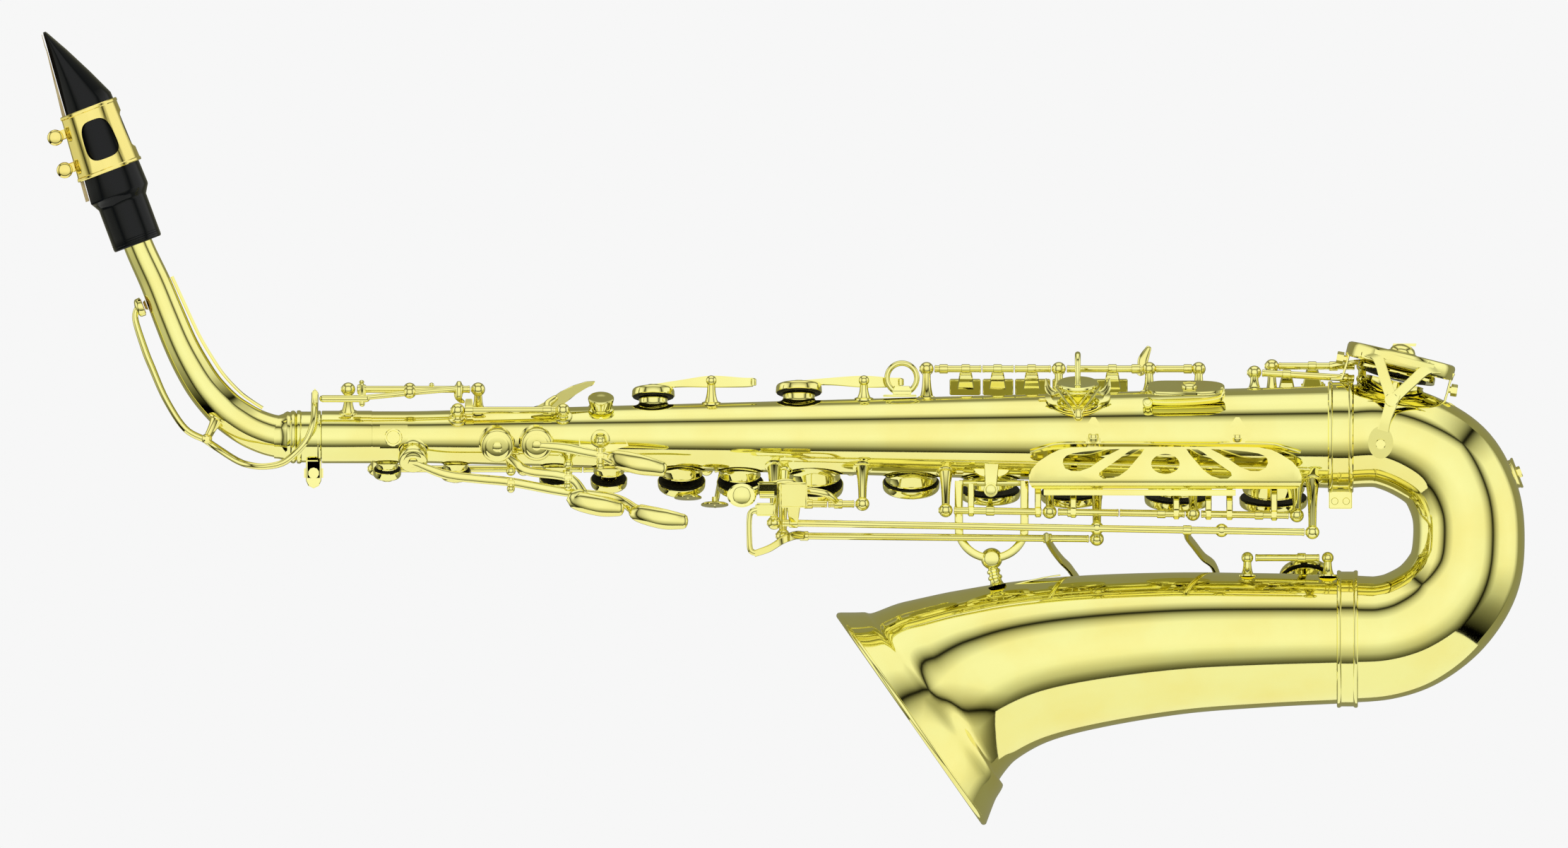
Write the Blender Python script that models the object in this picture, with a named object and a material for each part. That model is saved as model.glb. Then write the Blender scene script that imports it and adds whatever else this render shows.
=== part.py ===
"""Alto saxophone as an assembly: body, bow, bell, neck, mouthpiece, keys and guards.

All lengths here are in millimetres, measured from the axis of the body tube: x runs along the
tube from the mouthpiece end to the bow, y points away from the key side, z points to the thumb
side. The finished objects are in metres, with the origin at the centre of the strap ring.
"""

import math

import bmesh
import bpy
from mathutils import Matrix, Vector

MM = 0.001
AXIS_Z = -27.7           # height of the tube axis below the strap ring's centre
GAP = 0.3                # clearance between touching pieces
WALL = 1.2               # wall of the body tube, bow and bell

TUBE_START = -273.0      # upper end of the body tube
TUBE_END = 206.0         # lower end, inside the body-to-bow ring
TUBE_SMALL_R = 12.1      # radius of the cylindrical top
CONE_R = 18.45           # outer radius of the cone at x = 0
CONE_SLOPE = 0.0278      # growth of that radius per millimetre
CONE_TOP = (TUBE_SMALL_R - CONE_R) / CONE_SLOPE

STACK_TURN = 22.0        # the main tone holes turn this far from straight down, towards the far side
HOLE_RISE = 3.2          # chimney height above the tube
CUP_DEPTH = 5.2

RECEIVER_X = -284.8      # upper face of the neck receiver
TENON_R = 10.5           # radius of the neck's tenon
BRACE_X = 42.2           # middle of the bell brace
BRACE_Y = -8.0           # the brace stands this far towards the key side
STRAP_R = 7.0            # middle radius of the strap ring's hoop
GUARD_Y = -25.0          # inner face of the lower stack guard

BOW_SIDES = 20
NECK_SIDES = 14
ROD_SIDES = 6
CUP_SIDES = 12

BRASS = ("lacquered_brass", (0.80, 0.57, 0.16), 0.16, 1.0)
EBONITE = ("black_mouthpiece", (0.02, 0.02, 0.022), 0.25, 0.0)
CANE = ("cane_reed", (0.78, 0.62, 0.34), 0.55, 0.0)
CORK = ("cork", (0.62, 0.42, 0.24), 0.8, 0.0)


# ---------------------------------------------------------------- making shapes

def clear_scene():
    for obj in list(bpy.data.objects):
        bpy.data.objects.remove(obj, do_unlink=True)


def material(spec):
    name, colour, rough, metal = spec
    found = bpy.data.materials.get(name)
    if found:
        return found
    made = bpy.data.materials.new(name)
    made.use_nodes = True
    shader = made.node_tree.nodes["Principled BSDF"]
    shader.inputs["Base Color"].default_value = (*colour, 1.0)
    shader.inputs["Roughness"].default_value = rough
    shader.inputs["Metallic"].default_value = metal
    return made


def basis(axis, hint=(0.0, 0.0, 1.0)):
    """Two unit vectors across an axis, the second as near to the hint as it can be."""
    w = Vector(axis).normalized()
    u = Vector(hint).cross(w)
    if u.length < 1e-6:
        u = Vector((0.0, 1.0, 0.0)).cross(w)
    u.normalize()
    return u, w.cross(u), w


def skin(rings):
    """A closed mesh through rings of points; a ring of one point is a pole."""
    mesh = bmesh.new()
    made = [[mesh.verts.new(p) for p in ring] for ring in rings]
    if len(made[0]) > 1:
        mesh.faces.new(list(reversed(made[0])))
    if len(made[-1]) > 1:
        mesh.faces.new(made[-1])
    for low, high in zip(made, made[1:]):
        count = max(len(low), len(high))
        for i in range(count):
            j = (i + 1) % count
            face = [low[i % len(low)], low[j % len(low)], high[j % len(high)], high[i % len(high)]]
            mesh.faces.new(list(dict.fromkeys(face)))
    return mesh


def circle(centre, u, v, radius, sides, flat=1.0):
    step = 2.0 * math.pi / sides
    return [Vector(centre) + u * (radius * math.cos((i + 0.5) * step))
            + v * (radius * flat * math.sin((i + 0.5) * step)) for i in range(sides)]


def turned(start, axis, profile, sides, hint=(0.0, 0.0, 1.0)):
    """A solid turned about an axis from (height, radius) pairs; a radius of 0 is a pole."""
    u, v, w = basis(axis, hint)
    rings = []
    for height, radius in profile:
        centre = Vector(start) + w * height
        rings.append([centre] if radius == 0.0 else circle(centre, u, v, radius, sides))
    return skin(rings)


def rod(start, end, radius, sides=ROD_SIDES):
    span = Vector(end) - Vector(start)
    return turned(start, span, [(0.0, radius), (span.length, radius)], sides)


def tapered(start, end, r_start, r_end, sides=ROD_SIDES):
    span = Vector(end) - Vector(start)
    return turned(start, span, [(0.0, r_start), (span.length, r_end)], sides)


def ball(centre, radius, sides=ROD_SIDES):
    rows = 4
    profile = [(-radius * math.cos(math.pi * i / rows), radius * math.sin(math.pi * i / rows))
               for i in range(rows + 1)]
    profile[0] = (-radius, 0.0)
    profile[-1] = (radius, 0.0)
    return turned(centre, (0.0, 0.0, 1.0), profile, sides)


def swept(points, radii, sides=ROD_SIDES, flat=1.0, hint=(0.0, 1.0, 0.0)):
    """A tube along a path; flat under 1 makes its section an ellipse, thin along the hint."""
    path = [Vector(p) for p in points]
    if not isinstance(radii, (list, tuple)):
        radii = [radii] * len(path)
    rings = []
    for i, point in enumerate(path):
        ahead = path[min(i + 1, len(path) - 1)] - path[max(i - 1, 0)]
        u, v, _ = basis(ahead, hint)
        rings.append(circle(point, u, v, radii[i], sides, flat))
    return skin(rings)


def strap(points, width, thick, across):
    """A flat strip along a path, its width lying along the vector across."""
    path = [Vector(p) for p in points]
    side = Vector(across).normalized() * (width / 2.0)
    rings = []
    for i, point in enumerate(path):
        ahead = path[min(i + 1, len(path) - 1)] - path[max(i - 1, 0)]
        lift = ahead.cross(side).normalized() * (thick / 2.0)
        rings.append([point + side + lift, point - side + lift, point - side - lift, point + side - lift])
    return skin(rings)


def slab(centre, size):
    """A box by its centre and full size."""
    mesh = bmesh.new()
    bmesh.ops.create_cube(mesh, size=1.0)
    place = Matrix.Translation(centre) @ Matrix.Diagonal((*size, 1.0))
    bmesh.ops.transform(mesh, matrix=place, verts=mesh.verts)
    return mesh


def sheet(outline, low, thick, axis):
    """A flat plate: the outline's points, moved by low and by low + thick along the axis."""
    w = Vector(axis).normalized()
    rings = [[Vector(p) + w * low for p in outline], [Vector(p) + w * (low + thick) for p in outline]]
    return skin(rings)


def bead(centre, normal, radius, height, sides=CUP_SIDES):
    """A disc with its middle at the centre."""
    start = Vector(centre) - Vector(normal).normalized() * (height / 2.0)
    return turned(start, normal, [(0.0, radius), (height, radius)], sides)


def merged(meshes):
    whole = bmesh.new()
    for part in meshes:
        bmesh.ops.recalc_face_normals(part, faces=part.faces)
        data = bpy.data.meshes.new("part")
        part.to_mesh(data)
        part.free()
        whole.from_mesh(data)
        bpy.data.meshes.remove(data)
    bmesh.ops.triangulate(whole, faces=[f for f in whole.faces if len(f.verts) > 4])
    return whole


def plain_object(name, meshes):
    whole = merged(meshes)
    data = bpy.data.meshes.new(name)
    whole.to_mesh(data)
    whole.free()
    obj = bpy.data.objects.new(name, data)
    bpy.context.scene.collection.objects.link(obj)
    return obj


def combine(target, other, operation):
    step = target.modifiers.new(operation, "BOOLEAN")
    step.operation = operation
    step.solver = "EXACT"
    step.use_self = True
    step.object = other
    result = bpy.data.meshes.new_from_object(target.evaluated_get(bpy.context.evaluated_depsgraph_get()))
    target.modifiers.clear()
    target.data = result
    bpy.data.objects.remove(other, do_unlink=True)


def piece(name, meshes, spec=BRASS, pivot=(0.0, 0.0, 0.0), cuts=()):
    """One node: the union of its meshes less the cuts, in metres, with its origin at the pivot."""
    obj = plain_object(name, meshes[:1])
    if len(meshes) > 1:
        combine(obj, plain_object("more", meshes[1:]), "UNION")
    if cuts:
        combine(obj, plain_object("cut", cuts), "DIFFERENCE")
    tidy = bmesh.new()
    tidy.from_mesh(obj.data)
    bmesh.ops.remove_doubles(tidy, verts=tidy.verts, dist=0.01)
    bmesh.ops.dissolve_degenerate(tidy, edges=tidy.edges, dist=0.01)
    bmesh.ops.triangulate(tidy, faces=tidy.faces)
    centre = Vector(pivot)
    to_metres = Matrix.Scale(MM, 4) @ Matrix.Translation(-centre)
    bmesh.ops.transform(tidy, matrix=to_metres, verts=tidy.verts)
    tidy.to_mesh(obj.data)
    tidy.free()
    obj.name = name
    obj.data.name = name
    obj.location = (centre + Vector((0.0, 0.0, AXIS_Z))) * MM
    obj.data.materials.clear()
    obj.data.materials.append(material(spec))
    obj.data.shade_smooth()
    obj.data.set_sharp_from_angle(angle=math.radians(35.0))
    return obj


# ---------------------------------------------------------------- the layout

def tube_r(x):
    """Outer radius of the body tube."""
    return max(TUBE_SMALL_R, CONE_R + CONE_SLOPE * x)


def around(turn):
    """Unit vector out of the tube, turned from straight down towards +y, in degrees."""
    angle = math.radians(turn)
    return Vector((0.0, math.sin(angle), -math.cos(angle)))


def on_line(line, x):
    """The point of a hinge line at x; a line is (y, z at x = 0, slope of z)."""
    return Vector((x, line[0], line[1] + line[2] * x))


UPPER_LINE = (27.5, -15.0, 0.0)
LOWER_LINE = (-19.0, -34.2, -0.0145)
LONG_LINE = (-27.0, -41.4, -0.0176)
SIDE_LINE = (9.0, 32.0, 0.0)
TOP_LINE = (-7.5, 22.4, 0.0)
LOW_EB_LINE = (10.0, 40.25, -0.06)
LOW_C_LINE = (22.0, 33.3, 0.0)

ROD_R = 1.7
BALL_R = 3.4
POST_R = 2.2

# name, x, chimney radius, turn from straight down
STACK_HOLES = (
    ("high_f_sharp", -242.2, 5.0, STACK_TURN),
    ("high_e", -210.0, 5.6, STACK_TURN),
    ("c", -162.8, 6.2, STACK_TURN),
    ("b", -137.9, 7.0, STACK_TURN),
    ("bis", -103.7, 9.6, STACK_TURN),
    ("a", -76.1, 9.4, STACK_TURN),
    ("g", -41.2, 12.0, STACK_TURN),
    ("g_sharp", 4.3, 11.8, STACK_TURN),
    ("f_sharp", 41.5, 12.6, STACK_TURN),
    ("f", 79.8, 13.0, STACK_TURN),
    ("e", 129.9, 14.2, STACK_TURN),
    ("d", 174.8, 14.4, STACK_TURN),
)
PALM_HOLES = (
    ("palm_f", -230.0, 5.4, -55.0),
    ("palm_d", -190.4, 6.4, -78.0),
    ("palm_eb", -171.8, 6.2, -80.0),
)
SIDE_HOLES = (
    ("side_c", -117.0, 6.6, 168.0),
    ("side_bb", -48.5, 7.4, 168.0),
)
HOLE = {name: (x, radius, turn) for name, x, radius, turn in STACK_HOLES + PALM_HOLES + SIDE_HOLES}

BOW_PATH = (  # centre x, z and radius of the bow, from the body to the bell
    (209.0, 0.0, 24.0), (226.0, 0.6, 24.6), (243.0, -5.0, 25.2), (257.0, -15.0, 25.7),
    (265.0, -31.0, 26.0), (267.0, -48.0, 26.4), (264.0, -65.0, 26.9), (254.0, -80.0, 27.6),
    (240.0, -90.0, 28.6), (226.0, -94.4, 29.2), (210.5, -95.0, 30.0),
)
BELL_PATH = (  # centre x, z and radius of the bell, from the bow to the rim
    (208.0, -95.0, 30.3), (170.0, -95.6, 31.6), (130.0, -97.0, 33.4), (90.0, -100.8, 36.0),
    (60.0, -105.8, 38.6), (38.0, -112.5, 42.5), (22.0, -120.0, 48.0), (13.5, -126.0, 53.5),
    (5.4, -131.8, 60.2),
)
RIM_CENTRE = Vector((4.5, 0.0, -132.5))
RIM_AXIS = Vector((-math.cos(math.radians(35.0)), 0.0, -math.sin(math.radians(35.0))))
RIM_R = 61.5


def hole_rim(name, extra=0.0):
    """Centre of a chimney's rim, and the direction out of it."""
    x, _, turn = HOLE[name]
    out = around(turn)
    return Vector((x, 0.0, 0.0)) + out * (tube_r(x) + HOLE_RISE + extra), out


def chimney(name):
    x, radius, _ = HOLE[name]
    rim, out = hole_rim(name)
    base = Vector((x, 0.0, 0.0)) + out * (tube_r(x) - 5.0)
    return turned(base, out, [(0.0, radius), ((rim - base).length, radius)], CUP_SIDES)


def chimney_bore(name):
    x, radius, _ = HOLE[name]
    rim, out = hole_rim(name)
    start = Vector((x, 0.0, 0.0)) + out * (tube_r(x) * 0.45)
    return turned(start, out, [(0.0, radius - 1.1), ((rim - start).length + 2.0, radius - 1.1)], CUP_SIDES)


def post(top, foot_r, ball_r=BALL_R, foot=None):
    """A tapered post from the tube's wall up to a ball on a hinge line."""
    if foot is None:
        across = Vector((0.0, top[1], top[2])).normalized()
        foot = Vector((top[0], 0.0, 0.0)) + across * (foot_r - 0.7)
    return [tapered(foot, top, POST_R * 1.35, POST_R * 0.8), ball(top, ball_r)]


# ---------------------------------------------------------------- body, bow and bell

def body_tube():
    span = TUBE_END - TUBE_START
    cone = [(0.0, TUBE_SMALL_R), (CONE_TOP - TUBE_START, TUBE_SMALL_R), (span, tube_r(TUBE_END))]
    bore = [(-2.0, TUBE_SMALL_R - WALL), (CONE_TOP - TUBE_START, TUBE_SMALL_R - WALL),
            (span + 2.0, tube_r(TUBE_END) - WALL)]
    start = (TUBE_START, 0.0, 0.0)
    meshes = [turned(start, (1.0, 0.0, 0.0), cone, BOW_SIDES)]
    meshes += [chimney(name) for name in HOLE]
    for line, places in POSTS.items():
        for x in places:
            meshes += post(on_line(line, x), tube_r(x))
    for top, size in LOOSE_POSTS:
        meshes += post(top, tube_r(top[0]), size)
    meshes.append(rod(on_line(SIDE_LINE, 117.0), on_line(SIDE_LINE, 139.0), ROD_R))
    cuts = [turned(start, (1.0, 0.0, 0.0), bore, BOW_SIDES)] + [chimney_bore(name) for name in HOLE]
    return piece("body_tube", meshes, cuts=cuts)


def pipe(path, shrink, over=0.0, sides=BOW_SIDES):
    """A swept solid through a path of (x, z, radius), optionally running past both ends."""
    points = [Vector((x, 0.0, z)) for x, z, _ in path]
    radii = [r - shrink for _, _, r in path]
    if over:
        first = (points[0] - points[1]).normalized() * over
        last = (points[-1] - points[-2]).normalized() * over
        points[0] = points[0] + first
        points[-1] = points[-1] + last
    return swept(points, radii, sides)


LOW_C_RIM = Vector((232.0, 2.0, 26.2))
LOW_C_OUT = Vector((0.235, 0.02, 0.972)).normalized()
LOW_EB_RIM = Vector((262.9, 29.3, -27.0))
LOW_EB_OUT = Vector((0.0, 1.0, 0.0))
BOW_HOLES = ((LOW_C_RIM, LOW_C_OUT, 13.5), (LOW_EB_RIM, LOW_EB_OUT, 11.0))


def bow():
    meshes = [pipe(BOW_PATH, 0.0)]
    cuts = [pipe(BOW_PATH, WALL, 2.0)]
    for rim, out, radius in BOW_HOLES:
        meshes.append(turned(rim - out * 11.0, out, [(0.0, radius), (11.0, radius)], CUP_SIDES))
        cuts.append(turned(rim - out * 16.0, out, [(0.0, radius - 1.1), (18.0, radius - 1.1)], CUP_SIDES))
    meshes += post(on_line(LOW_EB_LINE, 216.0), 23.9, 2.3)
    meshes += post(on_line(LOW_C_LINE, 216.5), 23.9, 2.8)
    return piece("bow", meshes, cuts=cuts)


LOW_BB_RIM = Vector((78.0, 41.5, -103.0))
LOW_B_RIM = Vector((143.0, 37.0, -97.0))
LOW_CS_OUT = Vector((0.0, 0.62, 0.78)).normalized()
LOW_CS_RIM = Vector((190.0, 0.0, -95.2)) + LOW_CS_OUT * 34.6
BELL_HOLES = (
    (LOW_BB_RIM, Vector((0.0, 1.0, 0.0)), 19.0),
    (LOW_B_RIM, Vector((0.0, 1.0, 0.0)), 18.0),
    (LOW_CS_RIM, LOW_CS_OUT, 11.0),
)


def bell():
    """The flared bell: a swept pipe that turns down to the rim's plane, with a rolled edge."""
    points = [Vector((x, 0.0, z)) for x, z, _ in BELL_PATH]
    radii = [r for _, _, r in BELL_PATH]
    rings = bell_rings(points, radii)
    inner = bell_rings(points, [r - WALL for r in radii])
    inner[0] = [p + Vector((3.0, 0.0, 0.0)) for p in inner[0]]
    inner[-1] = [p + RIM_AXIS * 4.0 for p in inner[-1]]
    lip = [(-1.6, RIM_R - 2.0), (-1.6, RIM_R - 0.6), (0.0, RIM_R), (1.4, RIM_R - 0.6), (1.4, RIM_R - 2.0)]
    meshes = [skin(rings), turned(RIM_CENTRE, RIM_AXIS, lip, BOW_SIDES, (0.0, 1.0, 0.0))]
    cuts = [skin(inner)]
    for rim, out, radius in BELL_HOLES:
        meshes.append(turned(rim - out * 12.0, out, [(0.0, radius), (12.0, radius)], CUP_SIDES))
        cuts.append(turned(rim - out * 18.0, out, [(0.0, radius - 1.1), (20.0, radius - 1.1)], CUP_SIDES))
    for x in (162.5, 200.3):
        meshes += post(Vector((x, -6.0, -56.8)), 0.0, 2.8, Vector((x, -7.5, -66.0)))
    return piece("bell", meshes, cuts=cuts)


def bell_rings(points, radii):
    """Rings that turn from square to the bow to square to the rim's axis."""
    rings = []
    last = len(points) - 1
    for i, point in enumerate(points):
        ahead = points[min(i + 1, last)] - points[max(i - 1, 0)]
        if i == last:
            ahead = RIM_AXIS
        if i == 0:
            ahead = Vector((-1.0, 0.0, 0.0))
        u, v, _ = basis(ahead, (0.0, 1.0, 0.0))
        rings.append(circle(point, u, v, radii[i], BOW_SIDES))
    return rings


# ---------------------------------------------------------------- fixed fittings on the body

def ring_band(x_low, x_high, centre_z, inner, outer, sides=BOW_SIDES):
    start = Vector((x_low, 0.0, centre_z))
    span = x_high - x_low
    bands = [(0.0, outer - 0.8), (1.0, outer), (span - 1.0, outer), (span, outer - 0.8)]
    meshes = [turned(start, (1.0, 0.0, 0.0), bands, sides)]
    hole = turned(start - Vector((1.0, 0.0, 0.0)), (1.0, 0.0, 0.0), [(0.0, inner), (span + 2.0, inner)],
                  sides)
    return meshes, [hole]


def neck_receiver():
    """The split socket that grips the neck tenon, with its two clamp ears."""
    meshes, cuts = ring_band(RECEIVER_X, TUBE_START - GAP, 0.0, TENON_R + 0.4, 12.5, 24)
    meshes += [slab((-276.8, 0.0, -15.0), (7.0, 9.0, 9.0)),
               bead((-276.8, 0.0, -19.5), (0.0, 1.0, 0.0), 3.5, 9.0, 12)]
    cuts += [slab((-279.0, 0.0, -18.0), (16.0, 1.0, 16.0)),
             rod((-276.8, -9.0, -17.0), (-276.8, 9.0, -17.0), 1.9)]
    return piece("neck_receiver", meshes, cuts=cuts)


def neck_clamp_screw():
    shaft = rod((-276.8, -5.6, -17.0), (-276.8, 9.0, -17.0), 1.5)
    head = slab((-276.8, 9.5, -17.0), (9.0, 2.4, 4.5))
    cap = bead((-276.8, -5.6, -17.0), (0.0, 1.0, 0.0), 2.6, 1.6, 10)
    return piece("neck_clamp_screw", [shaft, head, cap], pivot=(-276.8, 0.0, -17.0))


def body_bow_ring():
    meshes, cuts = ring_band(200.4, 212.4, 0.0, 24.9, 26.4)
    lug = slab((206.3, 0.0, -29.3), (11.0, 7.0, 7.6))
    cuts.append(slab((206.3, 0.0, -30.0), (14.0, 1.2, 14.0)))
    return piece("body_bow_ring", meshes + [lug], cuts=cuts)


def bow_bell_ring():
    meshes, cuts = ring_band(204.6, 214.5, -95.0, 31.2, 32.4)
    return piece("bow_bell_ring", meshes, cuts=cuts)


def bell_brace():
    """A U-shaped strap from the body down to a ball and a ringed stem on the bell."""
    arc = [Vector((BRACE_X + 15.6 * math.cos(a), BRACE_Y, -43.0 + 14.0 * math.sin(a)))
           for a in (math.pi * i / 8.0 + math.pi for i in range(9))]
    path = [Vector((BRACE_X - 15.6, BRACE_Y, -21.0))] + arc + [Vector((BRACE_X + 15.6, BRACE_Y, -21.0))]
    meshes = [swept(path, 1.9, ROD_SIDES)]
    meshes.append(rod((BRACE_X - 15.6, BRACE_Y, -24.0), (BRACE_X + 15.6, BRACE_Y, -24.0), 1.4))
    meshes.append(tapered((BRACE_X, BRACE_Y - 0.6, -24.6), (BRACE_X, -14.8, -24.8), 3.0, 2.6))
    meshes.append(ball((BRACE_X, BRACE_Y, -57.2), 4.6, 10))
    meshes.append(tapered((BRACE_X, BRACE_Y, -58.0), (BRACE_X + 2.2, BRACE_Y, -68.2), 2.6, 3.4))
    return piece("bell_brace", meshes)


def arc_path(centre, radius, low, high, count, y=0.0):
    """Points on an arc in the xz plane, angles in degrees."""
    angles = [math.radians(low + (high - low) * i / (count - 1)) for i in range(count)]
    return [Vector((centre[0] + radius * math.cos(a), y, centre[1] + radius * math.sin(a))) for a in angles]


def strap_ring():
    """The strap ring: a hoop standing on a small foot."""
    hoop = arc_path((0.0, -AXIS_Z), STRAP_R, 0.0, 337.5, 16)
    mesh = bmesh.new()
    rings = []
    for point in hoop:
        out = (point - Vector((0.0, 0.0, -AXIS_Z))).normalized()
        rings.append([mesh.verts.new(p) for p in circle(point, out, Vector((0.0, 1.0, 0.0)), 1.3, 8)])
    for i, ring in enumerate(rings):
        after = rings[(i + 1) % len(rings)]
        for k in range(8):
            m = (k + 1) % 8
            mesh.faces.new([ring[k], ring[m], after[m], after[k]])
    foot = slab((0.0, 0.0, -AXIS_Z - STRAP_R - 0.2), (9.0, 3.6, 3.0))
    plate = slab((-1.0, 0.0, tube_r(0.0) + 1.0), (15.0, 8.0, 1.3))
    return piece("strap_ring", [plate, foot, mesh])


def thumb_rest():
    out = Vector((0.0, -0.47, 0.883))
    base = Vector((-141.6, 0.0, 0.0)) + out * (tube_r(-141.6) + GAP)
    return piece("thumb_rest", [turned(base, out, [(0.0, 5.6), (1.0, 6.2), (5.6, 6.2), (6.2, 5.7)], 16)])


def thumb_hook():
    """A base ring on the tube, a V-shaped bracket, a round pad and the hook that the thumb carries."""
    r = tube_r(82.7)
    reach = tube_r(97.0) + GAP + 0.95
    saddle = [(82.7, -reach * math.sin(a), reach * math.cos(a))
              for a in (math.radians(d) for d in (4.0, 16.0, 28.0, 40.0, 52.0))]
    base = strap(saddle, 28.0, 1.6, (1.0, 0.0, 0.0))
    bracket = [strap([(82.7 + side * 0.6, -17.2, r - 3.2), (82.7 + side * 6.0, -15.6, r + 0.6),
                      (82.7 + side * 9.0, -12.6, r + 3.6)], 3.2, 1.5,
                      (side * 0.3, -1.0, 0.1)) for side in (-1.0, 1.0)]
    column = swept([(82.7, -11.6, r + 0.9), (82.7, -10.2, r + 3.9)], [4.6, 5.0], 10)
    pad = turned((82.7, -9.8, r + 3.2), (0.0, -0.30, 0.95), [(0.0, 9.4), (1.6, 10.0), (2.4, 9.6)], 16)
    hook = swept([(82.7, -12.4, r + 4.2), (82.7, -13.6, r + 9.0), (82.7, -12.2, r + 15.6),
                  (82.7, -7.4, r + 18.0),
                  (82.7, -2.0, r + 15.0)], [1.5, 1.5, 1.6, 1.6, 1.3], hint=(1.0, 0.0, 0.0))
    return piece("thumb_hook", [base, column, pad, hook] + bracket)


def thumb_plate():
    """A bent plate beside the thumb hook: a flat top with one screw, turned under to a rolled foot."""
    top = [(115.6, -26.0, 20.8), (115.6, -12.0, 25.4), (122.0, -10.2, 26.0), (144.0, -10.2, 26.0),
           (150.4, -13.6, 24.9),
           (151.9, -18.6, 23.2), (150.0, -23.8, 21.5), (144.0, -27.0, 20.4), (122.0, -27.6, 20.2)]
    across = Vector((0.0, -0.31, 0.95))
    plate = sheet([Vector(p) for p in top], -1.8, 1.8, across)
    under = strap([(150.2, -22.0, 21.0), (150.6, -22.2, 16.6), (144.0, -23.6, 14.6), (126.0, -23.8, 13.6),
                   (116.6, -22.4, 15.8)], 6.0, 1.6, (0.0, -0.9, 0.35))
    roll = rod((116.0, -19.3, 15.4), (116.0, -24.2, 18.0), 2.3, 8)
    screw = turned((135.2, -19.0, 22.9), across, [(0.0, 3.9), (0.8, 3.7), (1.6, 2.4)], 12)
    return piece("thumb_plate", [plate, under, roll, screw])


def guard_plate(outline, y, thick):
    return sheet([Vector((x, y, z)) for x, z in outline], 0.0, thick, (0.0, -1.0, 0.0))


def stack_key_guard():
    """The long plate over the lower stack, on two feet."""
    outline = [(60.0, -19.0), (63.0, -10.0), (72.0, -5.8), (175.5, -5.8), (184.0, -10.0), (187.4, -19.0),
               (186.0, -24.0), (61.5, -24.0)]
    meshes = [guard_plate(outline, GUARD_Y, 1.6)]
    meshes.append(slab((123.5, GUARD_Y - 0.2, -4.4), (98.0, 2.4, 4.6)))
    for x in (90.1, 157.8):
        near = tube_r(x) + 0.4
        meshes.append(slab((x, 0.5 * (GUARD_Y - 0.5 - near), -2.6), (6.0, -GUARD_Y + 0.5 - near, 3.0)))
    hole = [rod((x, GUARD_Y + 3.0, z), (x, GUARD_Y - 5.0, z), size, 14)
            for x, z, size in ((80.0, -14.5, 5.2), (102.5, -15.5, 4.6), (123.6, -12.8, 4.2),
                               (144.7, -15.5, 4.6), (167.2, -14.5, 5.2))]
    return piece("stack_key_guard", meshes, cuts=hole)


def low_c_guard():
    """A round dish over the low C cup, on a left foot, a right foot and a forked front leg."""
    out = LOW_C_OUT
    top = Vector((235.4, 2.0, 39.2))
    dish = turned(top - out * 6.8, out, [(0.0, 26.0), (5.8, 26.0), (6.8, 25.2)], BOW_SIDES)
    dome = turned(top, out, [(-0.9, 6.4), (1.0, 6.2), (3.2, 4.4), (4.4, 2.0)], 12)
    left = strap([(210.6, 2.0, 43.4), (210.0, 2.0, 38.2), (206.6, 2.0, 27.6), (202.4, 2.0, 27.4)], 9.0, 1.3,
                 (0.0, 1.0, 0.0))
    right = strap([(259.6, 2.0, 29.6), (257.4, 2.0, 25.0), (255.0, 2.0, 17.6), (260.0, 2.0, 14.2),
                   (265.8, 2.0, 9.9)], 9.0, 1.2,
                  (0.0, 1.0, 0.0))
    fork = [strap([(225.0, -22.0, 37.4), (227.6, -24.6, 26.0), (231.0, -26.2, 17.6)], 3.6, 1.4,
                  (1.0, 0.0, 0.2)),
            strap([(247.0, -21.4, 31.8), (239.6, -24.6, 25.2), (231.4, -26.2, 17.6)], 3.6, 1.4,
                  (1.0, 0.0, 0.9)),
            strap([(231.2, -26.2, 19.6), (228.0, -26.3, 10.0), (225.4, -25.9, 1.5)], 5.4, 1.4,
                  (1.0, 0.0, -0.3)),
            turned((225.2, -25.0, -3.2), (0.0, -1.0, 0.0), [(0.0, 6.0), (1.4, 6.0)], 12)]
    bumpers = [rod((205.6, 2.0, 37.6), (210.4, 2.0, 36.6), 2.0),
               rod((256.4, 2.0, 22.2), (261.6, 2.0, 21.4), 2.0)]
    hollow = turned(top - out * 8.0, out, [(0.0, 24.8), (6.8, 24.8)], BOW_SIDES)
    return piece("low_c_guard", [dish, dome, left, right] + fork + bumpers, cuts=[hollow])


BEND_CENTRE = Vector((208.0, 0.0, -48.0))
BEND_OUT = Vector((0.934, 0.0, 0.358))
BEND_ALONG = Vector((-0.358, 0.0, 0.934))


def low_eb_guard():
    """A bent plate over the low E flat cup, from the bow's outer edge to its inner side."""
    rows = ((86.2, 2.0), (87.8, 10.0), (86.6, 23.0), (80.6, 36.0), (70.0, 43.0), (52.0, 43.6),
            (42.0, 38.0), (36.4, 28.0),
            (37.6, 19.6))
    path = [BEND_CENTRE + BEND_OUT * reach + Vector((0.0, y, 0.0)) for reach, y in rows]
    return piece("low_eb_guard", [strap(path, 13.0, 1.4, BEND_ALONG)])


def bell_key_guard():
    path = [(48.0, 41.2, -120.0), (52.0, 60.0, -106.0), (78.0, 64.0, -103.0), (143.0, 60.0, -97.0),
            (168.0, 54.0, -96.0), (172.0, 32.2, -96.0)]
    return piece("bell_key_guard", [strap(path, 6.0, 2.0, (0.0, 0.0, 1.0))])


# ---------------------------------------------------------------- neck and mouthpiece

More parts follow.
